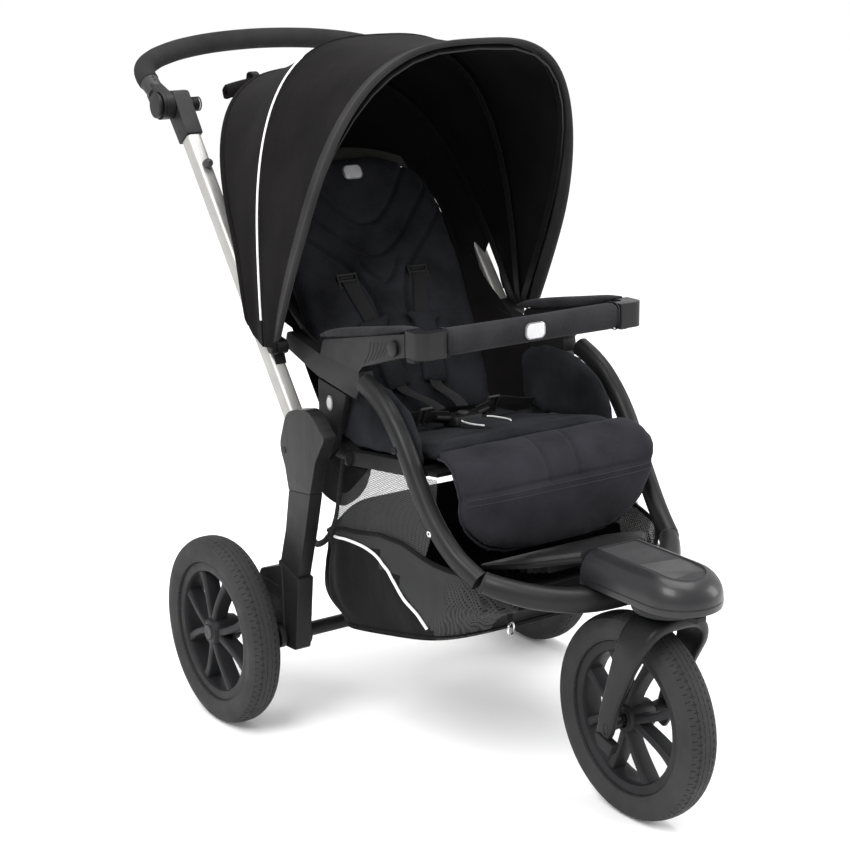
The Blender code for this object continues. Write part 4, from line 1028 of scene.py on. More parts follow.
def hoop_at(u, n):
    """A point on the canopy: u from rim 0 through the middle hoop 1 to the rear hoop 2."""
    low, high = (RIM, MIDDLE) if u <= 1 else (MIDDLE, REAR)
    t = u if u <= 1 else u - 1
    angle = HOOP_START + (pi - 2 * HOOP_START) * n / ACROSS
    sag = 0.0065 * sin(pi * t)
    share = abs(sin(angle)) ** (2 / POWER)
    places = []
    for hoop in (low, high):
        _, height, half = hoop
        x = -abs(cos(angle)) ** (2 / POWER) * (half - sag * 0.3) * (1 if cos(angle) >= 0 else -1)
        reach = share * (height - sag)
        places.append(hoop_place(hoop, reach, x, 1 - step01(reach / height, 0.35, 0.98)))
    point = places[0].lerp(places[1], t)
    for a, b in zip(TIPS, TIPS[1:]):
        if a[0] <= u <= b[0]:
            k = (u - a[0]) / (b[0] - a[0])
            tip = Vector((0, lerp(a[1], b[1], k), lerp(a[2], b[2], k)))
    tip_reach = abs(sin(HOOP_START)) ** (2 / POWER)
    base = Vector((0, 0, 0))
    for k, hoop in zip((1 - t, t), (low, high)):
        base += hoop_place(hoop, tip_reach * hoop[1]) * k
    near_tip = 1 - step01(share, 0.0, 0.42 if u > 0.3 else 0.3)
    point += Vector((0, tip.y - base.y, tip.z - base.z)) * near_tip
    point.x += 0.0022 * sin(9 * angle + 5 * u) * sin(pi * t) * (1 - share * 0.6)
    return point


def hoop_row(u):
    return [hoop_at(u, n) for n in range(ACROSS + 1)]


def outward_rows(rows):
    """Normals of a grid of points, away from the canopy's inside."""
    centre = Vector((0, -0.08, 0.72))
    out = []
    for r, row in enumerate(rows):
        line = []
        for n, p in enumerate(row):
            du = rows[min(r + 1, len(rows) - 1)][n] - rows[max(r - 1, 0)][n]
            dv = row[min(n + 1, len(row) - 1)] - row[max(n - 1, 0)]
            normal = du.cross(dv).normalized()
            line.append(normal if normal.dot(p - centre) > 0 else -normal)
        out.append(line)
    return out


front_rows = [hoop_row(k / 14) for k in range(15)]
rear_rows = [hoop_row(1 + k / 10) for k in range(11)]
front_sheet = piece("canopy_front_cloth", grid_sheet(front_rows, CLOTH, 1), "canopy",
                    "canopy_front", "canopy_front_panel", 60, ("lining",))
rear_sheet = piece("canopy_rear_cloth", grid_sheet(rear_rows, CLOTH, 1), "canopy",
                   "canopy_middle", "canopy_rear_panel", 60, ("lining",))


def unride(obj):
    """Free a piece from its body."""
    obj.parent = None
    obj.matrix_world = Matrix.Identity(4)
    del obj["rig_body"]
    return obj


def bend(obj):
    """Free a grid sheet from its body and bake its place into its mesh."""
    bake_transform(unride(obj))


mid_start, mid_end, rear_end = (CANOPY + (hoop_at(u, ACROSS / 2) - CANOPY) * 0.55
                                for u in (0, 1, 2))
bend(front_sheet)
bend(rear_sheet)


rim_normals = outward_rows(front_rows)[0]
rim_line = front_rows[0]


def band_along(points, normals, inward, section):
    """A closed band whose section is given as (distance inward, height over the cloth)."""
    return skin([[p + toward * s + normal * h for s, h in section]
                 for p, normal, toward in zip(points, normals, inward)])


rim_inward = [(b - a).normalized() for a, b in zip(front_rows[0], front_rows[2])]
binding_section = [(0.024, 0.0006), (0.0236, 0.0016), (0.012, 0.0021), (0.0062, 0.0026),
                   (0.004, 0.0036), (0.001, 0.004), (-0.0022, 0.003), (-0.0034, 0.0004),
                   (-0.0026, -0.0026), (0.0004, -0.0046), (0.004, -0.004), (0.007, -0.003),
                   (0.0236, -0.0026), (0.024, -0.0016)]
binding = piece("canopy_rim_binding",
                band_along(rim_line, rim_normals, rim_inward, binding_section),
                "binding", "canopy_front", smooth=50)
for k, depth in enumerate((0.0085, 0.0215)):
    path = [p + t * depth + n * 0.0021 for p, t, n in zip(rim_line, rim_inward, rim_normals)]
    stitches(f"rim_stitches_{k}", path, rim_normals, "thread", "canopy_front", 0.005, 0.0034,
             0.0004)
seam_line = rear_rows[0]
seam_normals = outward_rows(rear_rows)[0]
seam_cover = piece("canopy_seam", tube([p + n * 0.0005 for p, n in zip(seam_line, seam_normals)],
                                       0.0013, 8), "canopy", "canopy_middle")
seam_inward = [(b - a).normalized() for a, b in zip(front_rows[-1], front_rows[-3])]
flat_seam = [p + t * 0.006 + n * 0.0009 for p, t, n in zip(seam_line, seam_inward, seam_normals)]
stitches("seam_stitches", flat_seam, seam_normals, "dark_thread", "canopy_middle")
for s, part in (("right", slice(1, 36)), ("left", slice(ACROSS - 35, ACROSS))):
    line = [p + n * 0.0016 for p, n in zip(seam_line[part], seam_normals[part])]
    if s == "right":
        line[0] += Vector((0, 0, 0.004))
    radii = [0.0017] * len(line)
    end = -1 if s == "right" else 0
    radii[end] = 0.0006
    piece(f"canopy_piping_{s}", tube(line, radii, 10), "piping",
                               "canopy_middle")
rear_normals = outward_rows(rear_rows)[-1]
rear_inward = [(b - a).normalized() for a, b in zip(rear_rows[-1], rear_rows[-3])]
rear_hem = piece("canopy_rear_hem", band_along(rear_rows[-1], rear_normals, rear_inward,
                 [(0.01, 0.0006), (0.009, 0.0013), (-0.001, 0.0016), (-0.0018, -0.0006),
                  (-0.001, -0.0024), (0.009, -0.0022), (0.01, -0.0014)]), "canopy", "push_frame",
                 smooth=50)

# ---- a rolled-up flap at the canopy's back, and its ties ----
ROLL_AT = rear_rows[-1][ACROSS // 2] + Vector((0, 0.01, -0.022))
roll_half, roll_turns = 0.15, 2.6
roll_rings = []
for k in range(41):
    t = k / 40
    x = -roll_half + 2 * roll_half * t
    drop = 0.01 * (2 * t - 1) ** 4 + 0.0015 * sin(17 * t + 1)
    ring = []
    for m in range(29):
        a = 2 * pi * m / 28 * roll_turns
        r = 0.0055 + 0.0075 * m / 28 + 0.0006 * sin(5 * a + 23 * t)
        ring.append(Vector((x, ROLL_AT.y + r * cos(a), ROLL_AT.z - drop + r * sin(a))))
    roll_rings.append(ring)
roll = piece("canopy_rolled_flap", grid_sheet(roll_rings, 0.0011), "canopy", "push_frame",
             smooth=60)
for s, sign in SIDES.items():
    tie_at = ROLL_AT + Vector((0.1 * sign, 0, -0.004))
    loop_line = [tie_at + Vector((0, 0.016 * cos(a),
                                  0.0165 * sin(a) + (0.006 if sin(a) > 0.7 else 0)))
                 for a in (2 * pi * k / 28 for k in range(28))]
    piece(f"flap_tie_{s}", sweep([(p.x, p.y, p.z, 0.006, 0.0007) for p in loop_line], X, 0.4, 1, 2),
          "strap", "push_frame")

# ---- basket ----
BASKET_Y = (-0.505, -0.092)
BASKET_HALF = 0.198


def basket_point(a, t):
    """Basket wall: a turns round the basket from its left side, t goes from the bottom edge up."""
    front = step01(-sin(a), 0.0, 0.9)
    half = lerp(0.186, BASKET_HALF, step01(t, 0.0, 0.75)) * (1 - 0.06 * front * t)
    y_rear = lerp(-0.13, BASKET_Y[1], step01(t, 0.0, 0.35))
    y_front = lerp(-0.445, BASKET_Y[0], step01(t, 0.0, 0.6))
    c, d = cos(a), sin(a)
    power = 2 / 5.2
    x = half * abs(c) ** power * (1 if c >= 0 else -1)
    y = lerp(y_front, y_rear, 0.5 + 0.5 * abs(d) ** power * (1 if d >= 0 else -1))
    along = (y - BASKET_Y[0]) / (BASKET_Y[1] - BASKET_Y[0])
    bottom = 0.163 + 0.086 * (1 - along) ** 1.15 + 0.016 * step01(along, 0.9, 1.0)
    dip = 0.028 * step01(along, 0.72, 1.0) * step01(abs(c), 0.1, 0.6)
    top = 0.338 + 0.022 * exp(-((along - 0.42) / 0.22) ** 2) - dip
    top -= 0.03 * step01(-along, -0.12, 0.05)
    z = lerp(bottom, top, t)
    belly = 0.01 * sin(pi * min(1.0, t * 1.25)) * abs(c) ** 0.4
    fold = 0.0042 * sin(13 * a + 2.1 * sin(3 * a)) * sin(pi * t) * (1 - 0.75 * front)
    fold += 0.0024 * sin(29 * a + 6 * t) * (1 - t) * t * 3
    out = Vector((c, d * 0.6, 0)).normalized() * (belly + fold)
    return Vector((x, y, z)) + out * 0.9


BASKET_ROUND, BASKET_UP = 192, 22
basket_rows = [[basket_point(2 * pi * k / BASKET_ROUND, r / BASKET_UP) for k in range(BASKET_ROUND)]
               for r in range(BASKET_UP + 1)]
floor_rows = []
for r in range(1, 9):
    ring = []
    middle = Vector((0, -0.29, 0.2))
    for p in basket_rows[0]:
        q = p.lerp(middle, r / 8.6)
        q.z = lerp(p.z, 0.163 + 0.086 * ((BASKET_Y[1] - q.y) / (BASKET_Y[1] - BASKET_Y[0])) ** 1.15,
                   min(1.0, r / 3)) - 0.006 * sin(pi * min(1, r / 8))
        ring.append(q)
    floor_rows.append(ring)
# the trim runs lower on the wall than the rim, from the rear corner down to the front
TRIM = [(-0.172, 0.322), (-0.215, 0.328), (-0.262, 0.329), (-0.3, 0.322), (-0.332, 0.308),
        (-0.362, 0.286), (-0.386, 0.262), (-0.406, 0.241)]
trim_path = smooth_path(TRIM, 8)


def trim_height(y):
    """Height of the piping on the basket's side at a place along it."""
    if y > trim_path[0][0]:
        return 1.0
    if y < trim_path[-1][0]:
        return -1.0
    for (ya, za), (yb, zb) in zip(trim_path, trim_path[1:]):
        if yb <= y <= ya:
            return lerp(za, zb, (ya - y) / (ya - yb + 1e-9))


def basket_shape():
    shape = bmesh.new()
    rings = floor_rows[::-1] + basket_rows
    verts = [[shape.verts.new(p) for p in ring] for ring in rings]
    count = BASKET_ROUND
    for a, b in zip(verts, verts[1:]):
        for n in range(count):
            m = (n + 1) % count
            face = shape.faces.new((a[n], a[m], b[m], b[n]))
            middle = face.calc_center_median()
            on_wall = abs(middle.x) > 0.11 and b in verts[len(floor_rows) + 1:]
            if on_wall and middle.y < TRIM[0][0] and middle.z > trim_height(middle.y):
                face.material_index = 1
    shape.faces.new(verts[0][::-1])
    bmesh.ops.recalc_face_normals(shape, faces=shape.faces)
    shape.normal_update()
    centre = Vector((0, -0.3, 0.3))
    sample = verts[12][0]
    sign = 1 if sample.normal.dot(sample.co - centre) > 0 else -1
    inner = {v: shape.verts.new(v.co - v.normal * 0.0014 * sign) for ring in verts for v in ring}
    for face in list(shape.faces):
        made = shape.faces.new([inner[v] for v in reversed(face.verts)])
        made.material_index = face.material_index
    top = verts[-1]
    for n in range(count):
        m = (n + 1) % count
        shape.faces.new((top[n], top[m], inner[top[m]], inner[top[n]]))
    bmesh.ops.recalc_face_normals(shape, faces=shape.faces)
    return shape


def crumples(obj):
    """Give a piece its own copy of its mesh."""
    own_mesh(obj)


basket_body = piece("basket_cloth", basket_shape(), "basket", "main_frame", "basket", 60, ("mesh",))
with_basket = []
rim_path = [p + Vector((0, 0, 0.0005)) for p in basket_rows[-1]]
with_basket.append(piece("basket_rim_binding", tube(rim_path, 0.0034, 10, closed=True), "basket",
                         "main_frame"))
bottom_path = [p + (p - Vector((0, -0.29, p.z))).normalized() * 0.0008 for p in basket_rows[1]]
with_basket.append(piece("basket_bottom_seam", tube(bottom_path, 0.0016, 6, closed=True), "basket",
                         "main_frame"))


def on_basket_side(y, z, sign):
    """Nearest place on the basket's side wall to a height and a place along it."""
    return min((p for row in basket_rows for p in row if p.x * sign > 0.1),
               key=lambda p: (p.y - y) ** 2 + (p.z - z) ** 2)


for s, sign in SIDES.items():
    line = []
    for y, z in trim_path[::3]:
        near = on_basket_side(y, z, sign)
        line.append(Vector((near.x + 0.0022 * sign, y, z)))
    line = [Vector(p) for p in smooth_path([tuple(p) for p in line], 4)]
    with_basket.append(piece(f"basket_piping_{s}", tube(line, 0.0022, 10), "piping", "main_frame"))

# ---- cloth under the seat: side nets, hanging flaps and strap loops ----
for s, sign in SIDES.items():
    net_rows = []
    for t in (k / 14 for k in range(15)):
        row = []
        for m in range(25):
            y = lerp(-0.165, -0.405, m / 24)
            near = on_basket_side(y, 0.4, sign)
            rail_z = 0.434 + (-0.165 - y) * 0.105
            x = lerp(near.x - 0.001 * sign, 0.172 * sign, t ** 0.8)
            row.append(Vector((x - sign * 0.004 * sin(pi * t), y, lerp(near.z - 0.004, rail_z, t))))
        net_rows.append(row)
    net = piece(f"side_net_{s}", grid_sheet(net_rows, 0.0004), "net", "main_frame", smooth=60)
    crumples(net)
    lobe_rows = []
    lobe = [(-0.088, 0.01), (-0.092, 0.052), (-0.104, 0.068), (-0.13, 0.077), (-0.165, 0.074),
            (-0.195, 0.058), (-0.215, 0.035), (-0.228, 0.01)]
    lobe_line = smooth_path(lobe, 6)
    for k in range(13):
        t = k / 12
        row = []
        for y, drop in lobe_line:
            top = 0.438 - (y + 0.165) * 0.105
            x = 0.169 + 0.006 * sin(pi * t) + 0.0035 * sin(70 * y + 1) * t
            row.append(Vector((x * sign, y, top - drop * t)))
        lobe_rows.append(row)
    flap_cloth = piece(f"under_seat_flap_{s}", grid_sheet(lobe_rows, 0.0016), "basket",
                       "main_frame", smooth=60)
    crumples(flap_cloth)
    strap_line = [(0.1865, -0.183, 0.442), (0.192, -0.184, 0.412), (0.196, -0.184, 0.385),
                  (0.201, -0.179, 0.347), (0.2045, -0.16, 0.316), (0.201, -0.128, 0.299),
                  (0.19, -0.1, 0.296)]
    strap_loop = piece(f"basket_strap_{s}", sweep([(x * sign, y, z, 0.005, 0.0007)
                                                  for x, y, z in strap_line],
                                                 lambda n: Vector((0, 0.6, -0.8)) if n > 30 else Y,
                                                 0.4, 8, 2), "strap", "main_frame")
    crumples(strap_loop)
for obj in (basket_body, *with_basket):
    crumples(obj)
ring_at = Vector((-0.109, -0.49, 0.254))
ring = [ring_at + Vector((0.0075 * cos(a), 0.003 * cos(a), 0.0095 * sin(a)))
        for a in (2 * pi * k / 24 for k in range(24))]
d_ring = piece("basket_d_ring", tube(ring, 0.0014, 8, closed=True), "steel", "main_frame")
ring_tab = piece("d_ring_tab", sweep([(-0.109, -0.4885, 0.262, 0.005, 0.0008),
                                      (-0.1085, -0.486, 0.278, 0.005, 0.0008)], X, 0.4, 2, 2),
                 "strap", "main_frame")
crumples(d_ring)
crumples(ring_tab)

# ---- bumper bar ----
bar_plan = fillet([(0.1962, -0.3665, 0.001), (0.1962, -0.4045, 0.017), (0.153, -0.4045, 0.001),
                   (0.153, -0.385, 0.001), (0.1725, -0.385, 0.007), (0.1725, -0.3665, 0.001)], 8)
bars = []
for s, sign in SIDES.items():
    outline = [Vector((p.x * sign, p.y)) for p in bar_plan]
    bars.append(slab(outline, 0.629, 0.666, 0.0034, plane="XY", steps=4))
bars.append(slab([Vector((-0.154, -0.387)), Vector((0.154, -0.387)), Vector((0.154, -0.3945)),
                  Vector((-0.154, -0.3945))], 0.633, 0.663, 0.001, plane="XY"))
piece("bumper_corners", merged(*bars), "frame", "bumper", "bumper_bar")
for s, sign in SIDES.items():
    line = [Vector((0.1552 * sign, y, z)) for y, z in ((-0.4043, 0.6325), (-0.4047, 0.64),
                                                      (-0.4047, 0.656), (-0.4043, 0.6625))]
    piece(f"bumper_corner_line_{s}", tube(line, 0.0005, 6), "dark_thread", "bumper")
    latch = fillet([(-0.36, 0.6285, 0.003), (-0.36, 0.62, 0.003), (-0.376, 0.62, 0.003),
                    (-0.38, 0.63, 0.003)])
    piece(f"bumper_latch_{s}", slab(latch, 0.178 * sign, 0.19 * sign, 0.0015), "plastic", "bumper")


# ---- padded pieces ----
def pad_object(mesh):
    obj = bpy.data.objects.new("pad", mesh)
    bpy.context.scene.collection.objects.link(obj)
    return obj


def applied(obj):
    """The mesh of an object with its modifiers applied; the object is removed."""
    mesh = bpy.data.meshes.new_from_object(obj.evaluated_get(bpy.context.evaluated_depsgraph_get()))
    old = obj.data
    bpy.data.objects.remove(obj)
    bpy.data.meshes.remove(old)
    mesh.materials.clear()
    return mesh


def coordinates(mesh):
    co = np.empty(len(mesh.vertices) * 3)
    mesh.vertices.foreach_get("co", co)
    return co.reshape(-1, 3)


def puffed(shape, voxel=0.005, cap=0.006, last=20, slack=0.0):
    """A closed shape swollen into a cushion by cloth simulation, each point's travel capped."""
    mesh = bpy.data.meshes.new("pad")
    shape.to_mesh(mesh)
    shape.free()
    obj = pad_object(mesh)
    remesh = obj.modifiers.new("remesh", "REMESH")
    remesh.mode = "VOXEL"
    remesh.voxel_size = voxel
    mesh = applied(obj)
    before = coordinates(mesh)
    obj = pad_object(mesh)
    swell = obj.modifiers.new("swell", "CLOTH")
    swell.settings.quality = 3
    swell.settings.mass = 0.15
    swell.settings.use_pressure = True
    swell.settings.uniform_pressure_force = 4.0
    swell.settings.shrink_min = -slack
    swell.settings.effector_weights.gravity = 0
    swell.collision_settings.use_collision = False
    swell.point_cache.frame_end = last
    for frame_number in range(1, last + 1):
        bpy.context.scene.frame_set(frame_number)
    mesh = applied(obj)
    bpy.context.scene.frame_set(1)
    travel = coordinates(mesh) - before
    size = np.linalg.norm(travel, axis=1)
    share = np.where(size > 1e-9, cap * np.tanh(size / cap) / np.maximum(size, 1e-9), 1.0)
    mesh.vertices.foreach_set("co", (before + travel * share[:, None]).ravel())
    mesh.update()
    obj = pad_object(mesh)
    settle = obj.modifiers.new("settle", "SMOOTH")
    settle.factor = 0.5
    settle.iterations = 3
    finer = obj.modifiers.new("finer", "SUBSURF")
    finer.levels = finer.render_levels = 1
    return applied(obj)


def line_distance(points, line):
    """Distance of each 2-D point from a polyline."""
    best = np.full(len(points), 9.0)
    for a, b in zip(line, line[1:]):
        a, b = np.array(a[:2]), np.array(b[:2])
        d = b - a
        t = np.clip(((points - a) @ d) / max(d @ d, 1e-12), 0, 1)
        best = np.minimum(best, np.linalg.norm(points - (a + t[:, None] * d), axis=1))
    return best


def carve(mesh, where, facing, lines, depth, width, direction):
    """Press sewn channels into a pad: where gives 2-D places, facing a share from 0 to 1."""
    co = coordinates(mesh)
    places, share = where(co), facing(co)
    sink = np.zeros(len(co))
    for line in lines:
        sink = np.maximum(sink, np.exp(-(line_distance(places, line) / width) ** 2))
    co -= (sink * share * depth)[:, None] * np.array(direction)
    mesh.vertices.foreach_set("co", co.ravel())
    mesh.update()
    return mesh


def mirrored(line):
    return [(-x, v) for x, v in line]


def spaced(count):
    """Evenly spaced shares from -1 at one side to 1 at the other."""
    return [2 * n / count - 1 for n in range(count + 1)]


def cushion(name, mesh, look, body, stands_for=()):
    """A puffed pad on a body."""
    obj = piece(name, mesh, look, body, stands_for, smooth=60)
    return obj


def pad_tree(mesh):
    return BVHTree.FromPolygons([v.co for v in mesh.vertices], [p.vertices for p in mesh.polygons])


def lens(rows, normals, height):
    """A closed pad through a grid of middle points: height(u, v) is its half thickness."""
    shape = bmesh.new()
    top, low = [], []
    for r, (row, lines) in enumerate(zip(rows, normals)):
        up_row, down_row = [], []
        for n, (p, normal) in enumerate(zip(row, lines)):
            h = height(r / (len(rows) - 1), 2 * n / (len(row) - 1) - 1)
            up_row.append(shape.verts.new(p + normal * h))
            down_row.append(shape.verts.new(p - normal * h))
        top.append(up_row)
        low.append(down_row)
    for grid in (top, low):
        for a, b in zip(grid, grid[1:]):
            for n in range(len(a) - 1):
                shape.faces.new((a[n], a[n + 1], b[n + 1], b[n]))
    for a, b, c, d in zip(top, top[1:], low, low[1:]):
        for n in (0, -1):
            shape.faces.new((a[n], b[n], d[n], c[n]))
    for r in (0, -1):
        for n in range(len(top[0]) - 1):
            shape.faces.new((top[r][n], top[r][n + 1], low[r][n + 1], low[r][n]))
    bmesh.ops.recalc_face_normals(shape, faces=shape.faces)
    return shape


# ---- backrest ----
back_dir = Vector((0, sin(RECLINE), cos(RECLINE)))
back_out = Vector((0, -cos(RECLINE), sin(RECLINE)))
BACK_FOOT_Z = 0.47
BACK_FOOT = Vector((0, -0.123, BACK_FOOT_Z))
PAD_BACK = -0.0165  # the pad's middle plane, behind the seat's back plane


def on_back(along, out=0.0, x=0.0):
    return BACK_FOOT + back_dir * along + back_out * out + Vector((x, 0, 0))


back_shape = [(-0.01, 0.14), (0.05, 0.15), (0.12, 0.157), (0.22, 0.16), (0.29, 0.159),
              (0.345, 0.153), (0.385, 0.136), (0.412, 0.108), (0.428, 0.07), (0.432, 0.04)]
back_stations = smooth_path([(s, half) for s, half in back_shape], 5)
rows, normals = [], []
for s, half in back_stations:
    rows.append([on_back(s, PAD_BACK, half * v) for v in spaced(40)])
    normals.append([back_out] * 41)
back_pad = puffed(lens(rows, normals, lambda u, v: 0.005 + 0.0068 * (1 - abs(v) ** 5)
                       * (1 - abs(2 * u - 1) ** 8)), cap=0.0055, slack=0.02)


def back_places(co):
    rel = co - np.array(BACK_FOOT)
    return np.stack([rel[:, 0], rel @ np.array(back_dir)], axis=1)


def back_facing(co):
    out = (co - np.array(BACK_FOOT)) @ np.array(back_out)
    return np.clip((out - PAD_BACK) / 0.006, 0, 1)


def up_back(line):
    return smooth_path([(x, (z - BACK_FOOT_Z) / cos(RECLINE)) for x, z in line], 6)


inner_u = up_back([(0, 0.748), (0.02, 0.751), (0.057, 0.78), (0.1, 0.826), (0.128, 0.852)])
middle_u = up_back([(0, 0.701), (0.018, 0.704), (0.05, 0.722), (0.088, 0.755), (0.137, 0.799),
                    (0.156, 0.812)])
outer_v = up_back([(0.026, 0.6), (0.03, 0.64), (0.052, 0.679), (0.104, 0.723), (0.16, 0.769)])
neck = up_back([(0, 0.66), (0.016, 0.668), (0.034, 0.69)])
channels = [inner_u, mirrored(inner_u), middle_u, mirrored(middle_u), outer_v, mirrored(outer_v),
            neck, mirrored(neck)]
carve(back_pad, back_places, back_facing, channels, 0.0062, 0.0042, back_out)
edge_line = [(half * 0.955, s) for s, half in back_stations]
carve(back_pad, back_places, back_facing, [edge_line, mirrored(edge_line)], 0.0022, 0.003, back_out)
slots = [[(0.066 * g - 0.016, 0.23), (0.066 * g + 0.016, 0.23)] for g in (-1, 1)]
carve(back_pad, back_places, back_facing, slots, 0.006, 0.004, back_out)


def pad_border(mesh, places, along):
    """How far a pad really reaches sideways at each value of a coordinate along it."""
    co = coordinates(mesh)
    values = places(co)[:, 1]
    reach = []
    for value in along:
        near = np.abs(values - value) < 0.0045
        reach.append(float(np.abs(co[near, 0]).max()) if near.any() else 0.0)
    return reach


back_reach = pad_border(back_pad, back_places, [s for s, _ in back_stations])
piping_ring = both_sides([on_back(s, PAD_BACK, reach) for (s, _), reach
                          in zip(back_stations, back_reach) if reach > 0.02])
piece("backrest_edge_piping", tube(piping_ring, 0.0022, 10), "seat", "backrest")
cushion("backrest_pad", back_pad, "seat", "backrest", "backrest_cushion")
board = [(max(s, 0.03), half - 0.012) for s, half in back_stations[4:]]
board_rings = [[on_back(s, out, x) for x, out in ((-half, -0.0318), (half, -0.0318),
                                                  (half, -0.0392), (-half, -0.0392))]
               for s, half in board]
piece("backrest_shell", skin(board_rings), "plastic", "backrest", "backrest_frame")
cover_rows = [[on_back(s, -0.0398 - 0.004 * (1 - (2 * n / 24 - 1) ** 2)
                       - 0.0012 * sin(40 * s + n), (half + 0.001) * (2 * n / 24 - 1))
               for n in range(25)] for s, half in back_stations[2:]]
cover = piece("backrest_cover", grid_sheet(cover_rows, CLOTH), "canopy", "backrest", smooth=60)
band_rows = []
for k in range(7):
    t = k / 6
    band_rows.append([on_back(0.428 + 0.024 * t - 0.024 * v ** 2, -0.01 - 0.01 * t, 0.112 * v)
                      for v in spaced(30)])
band = piece("backrest_head_band", grid_sheet(band_rows, 0.0016), "band", "backrest", smooth=60)


def surface_line(mesh, starts, direction):
    """Drop points onto a pad along a direction; gives places and normals."""
    tree = pad_tree(mesh)
    places, ups = [], []
    for start in starts:
        hit, normal, _, _ = tree.ray_cast(Vector(start) + ORIGIN, direction)
        if hit is not None:
            places.append(hit - ORIGIN + normal * 0.0003)
            ups.append(normal)
    return places, ups


def badge(name, centre, across, upward, outward, half_w, half_h, body):
    """A plain rounded badge: a rim and a raised blank face."""
    for part, scale, low, high, look in (("rim", 1.0, -0.001, 0.0012, "badge_edge"),
                                         ("face", 0.86, 0.0002, 0.0018, "badge")):
        points = rounded(half_w * scale, half_h * scale, half_h * scale * 0.72, 6)
        rings = [[centre + across * u * k + upward * v * k + outward * d for u, v in points]
                 for k, d in ((1.0, low), (1.0, high - 0.0004), (0.96, high),
                              (0.02, high + 0.0003))]
        piece(f"{name}_{part}", skin(rings), look, body)


badge_at, _ = surface_line(back_pad, [on_back(0.402, 0.05)], -back_out)
badge("backrest_badge", badge_at[0], X, back_dir, back_out, 0.018, 0.012, "backrest")

# ---- cloth from the backrest to the canopy and to the seat's sides ----
BORDER = [(s, half + 0.001) for s, half in back_stations if s > 0.15]
border = both_sides([on_back(s, -0.021, -half) for s, half in BORDER])
edge_n = [n for n in range(ACROSS + 1) if rear_rows[-1][n].z > 0.705]


def along_line(points, share):
    """A point a share of the way along a line of points, by length."""
    lengths = [0.0]
    for a, b in zip(points, points[1:]):
        lengths.append(lengths[-1] + (b - a).length)
    goal = share * lengths[-1]
    for n in range(len(points) - 1):
        if lengths[n + 1] >= goal:
            t = (goal - lengths[n]) / max(lengths[n + 1] - lengths[n], 1e-9)
            return points[n].lerp(points[n + 1], t)
    return points[-1]


curtain_rows = []
rear_edge = [rear_rows[-1][n] for n in edge_n]
for k in range(19):
    t = k / 18
    row = []
    for m in range(121):
        share = m / 120
        point = along_line(rear_edge, share).lerp(along_line(border, share), t)
        hang_out = sin(pi * t)
        point += Vector((0, 0.016, -0.012)) * hang_out
        point += Vector((0, 0.6, 0.8)) * 0.0045 * sin(34 * share + 3 * t) * hang_out
        row.append(point)
    curtain_rows.append(row)
curtain = piece("canopy_back_cloth", grid_sheet(curtain_rows, CLOTH), "lining", "push_frame",
                "canopy_back", 60)
bend(curtain)
for s, sign in SIDES.items():
    outer = [Vector((0.166 * sign, -0.168, 0.462)), Vector((0.167 * sign, -0.172, 0.52)),
             Vector((0.169 * sign, -0.165, 0.57)), Vector((0.178 * sign, -0.11, 0.6)),
             Vector((0.183 * sign, -0.04, 0.64)), Vector((0.183 * sign, 0.03, 0.7)),
             Vector((0.18 * sign, 0.075, 0.745))]
    inner_edge = [on_back(0.345 * v - 0.02, -0.015, (0.13 + 0.02 * v) * sign)
                  for v in (k / 20 for k in range(21))]
    web_rows = []
    for k in range(11):
        t = k / 10
        row = []
        for m in range(41):
            v = m / 40
            p = along_line(inner_edge, v).lerp(along_line(outer, v), t)
            p += Vector((0.2 * sign, 0.8, -0.3)) * (0.01 + 0.01 * v) * sin(pi * t)
            p += Vector((0, 0.6, 0.5)) * 0.004 * sin(16 * v + 4 * t) * sin(pi * t)
            row.append(p)
        web_rows.append(row)
    web = piece(f"side_cloth_{s}", grid_sheet(web_rows, CLOTH), "canopy", "backrest", smooth=60)
    bend(web)

# ---- seat cushion ----
seat_rows, seat_normals = [], []
for r in range(31):
    y = lerp(-0.134, -0.386, r / 30)
    z = lerp(0.45, 0.453, step01(-y, 0.14, 0.2)) + max(0.0, -0.2 - y) * 0.19
    half = 0.156 - 0.01 * (1 - step01(-y, 0.14, 0.2))
    seat_rows.append([Vector((half * v, y, z)) for v in spaced(40)])
    seat_normals.append([Vector((0, -0.19, 0.98)).normalized()] * 41)
seat_pad = puffed(lens(seat_rows, seat_normals, lambda u, v: 0.0045 + 0.006 * (1 - abs(v) ** 6)),
                  cap=0.005, slack=0.015)


def from_above(co):
    return co[:, :2]


def top_of_seat(co):
    middle = 0.451 + np.maximum(0.0, -0.2 - co[:, 1]) * 0.19
    return np.clip((co[:, 2] - middle) / 0.005, 0, 1)


fold = [(0.0, -0.322), (0.06, -0.325), (0.118, -0.338), (0.156, -0.372)]
rear_seam = [(0.034, -0.15), (0.042, -0.225)]
carve(seat_pad, from_above, top_of_seat, [fold, mirrored(fold), rear_seam, mirrored(rear_seam)],
      0.0026, 0.0032, (0, 0, 1))
seat_piece = cushion("seat_pad", seat_pad, "seat", "main_frame", "seat_cushion")
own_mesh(seat_piece)

# ---- side wings ----
wing = fillet([(-0.142, 0.474, 0.008), (-0.142, 0.556, 0.02), (-0.212, 0.576, 0.04),
               (-0.285, 0.57, 0.05), (-0.34, 0.544, 0.04), (-0.366, 0.505, 0.02),
               (-0.372, 0.472, 0.006), (-0.2, 0.458, 0)], 8)
for s, sign in SIDES.items():
    wing_pad = puffed(slab(wing, 0.1662 * sign, 0.1745 * sign, 0.0015), voxel=0.0045, cap=0.0045)
    cushion(f"side_wing_pad_{s}", wing_pad, "seat", "main_frame", f"side_wing_{s}")

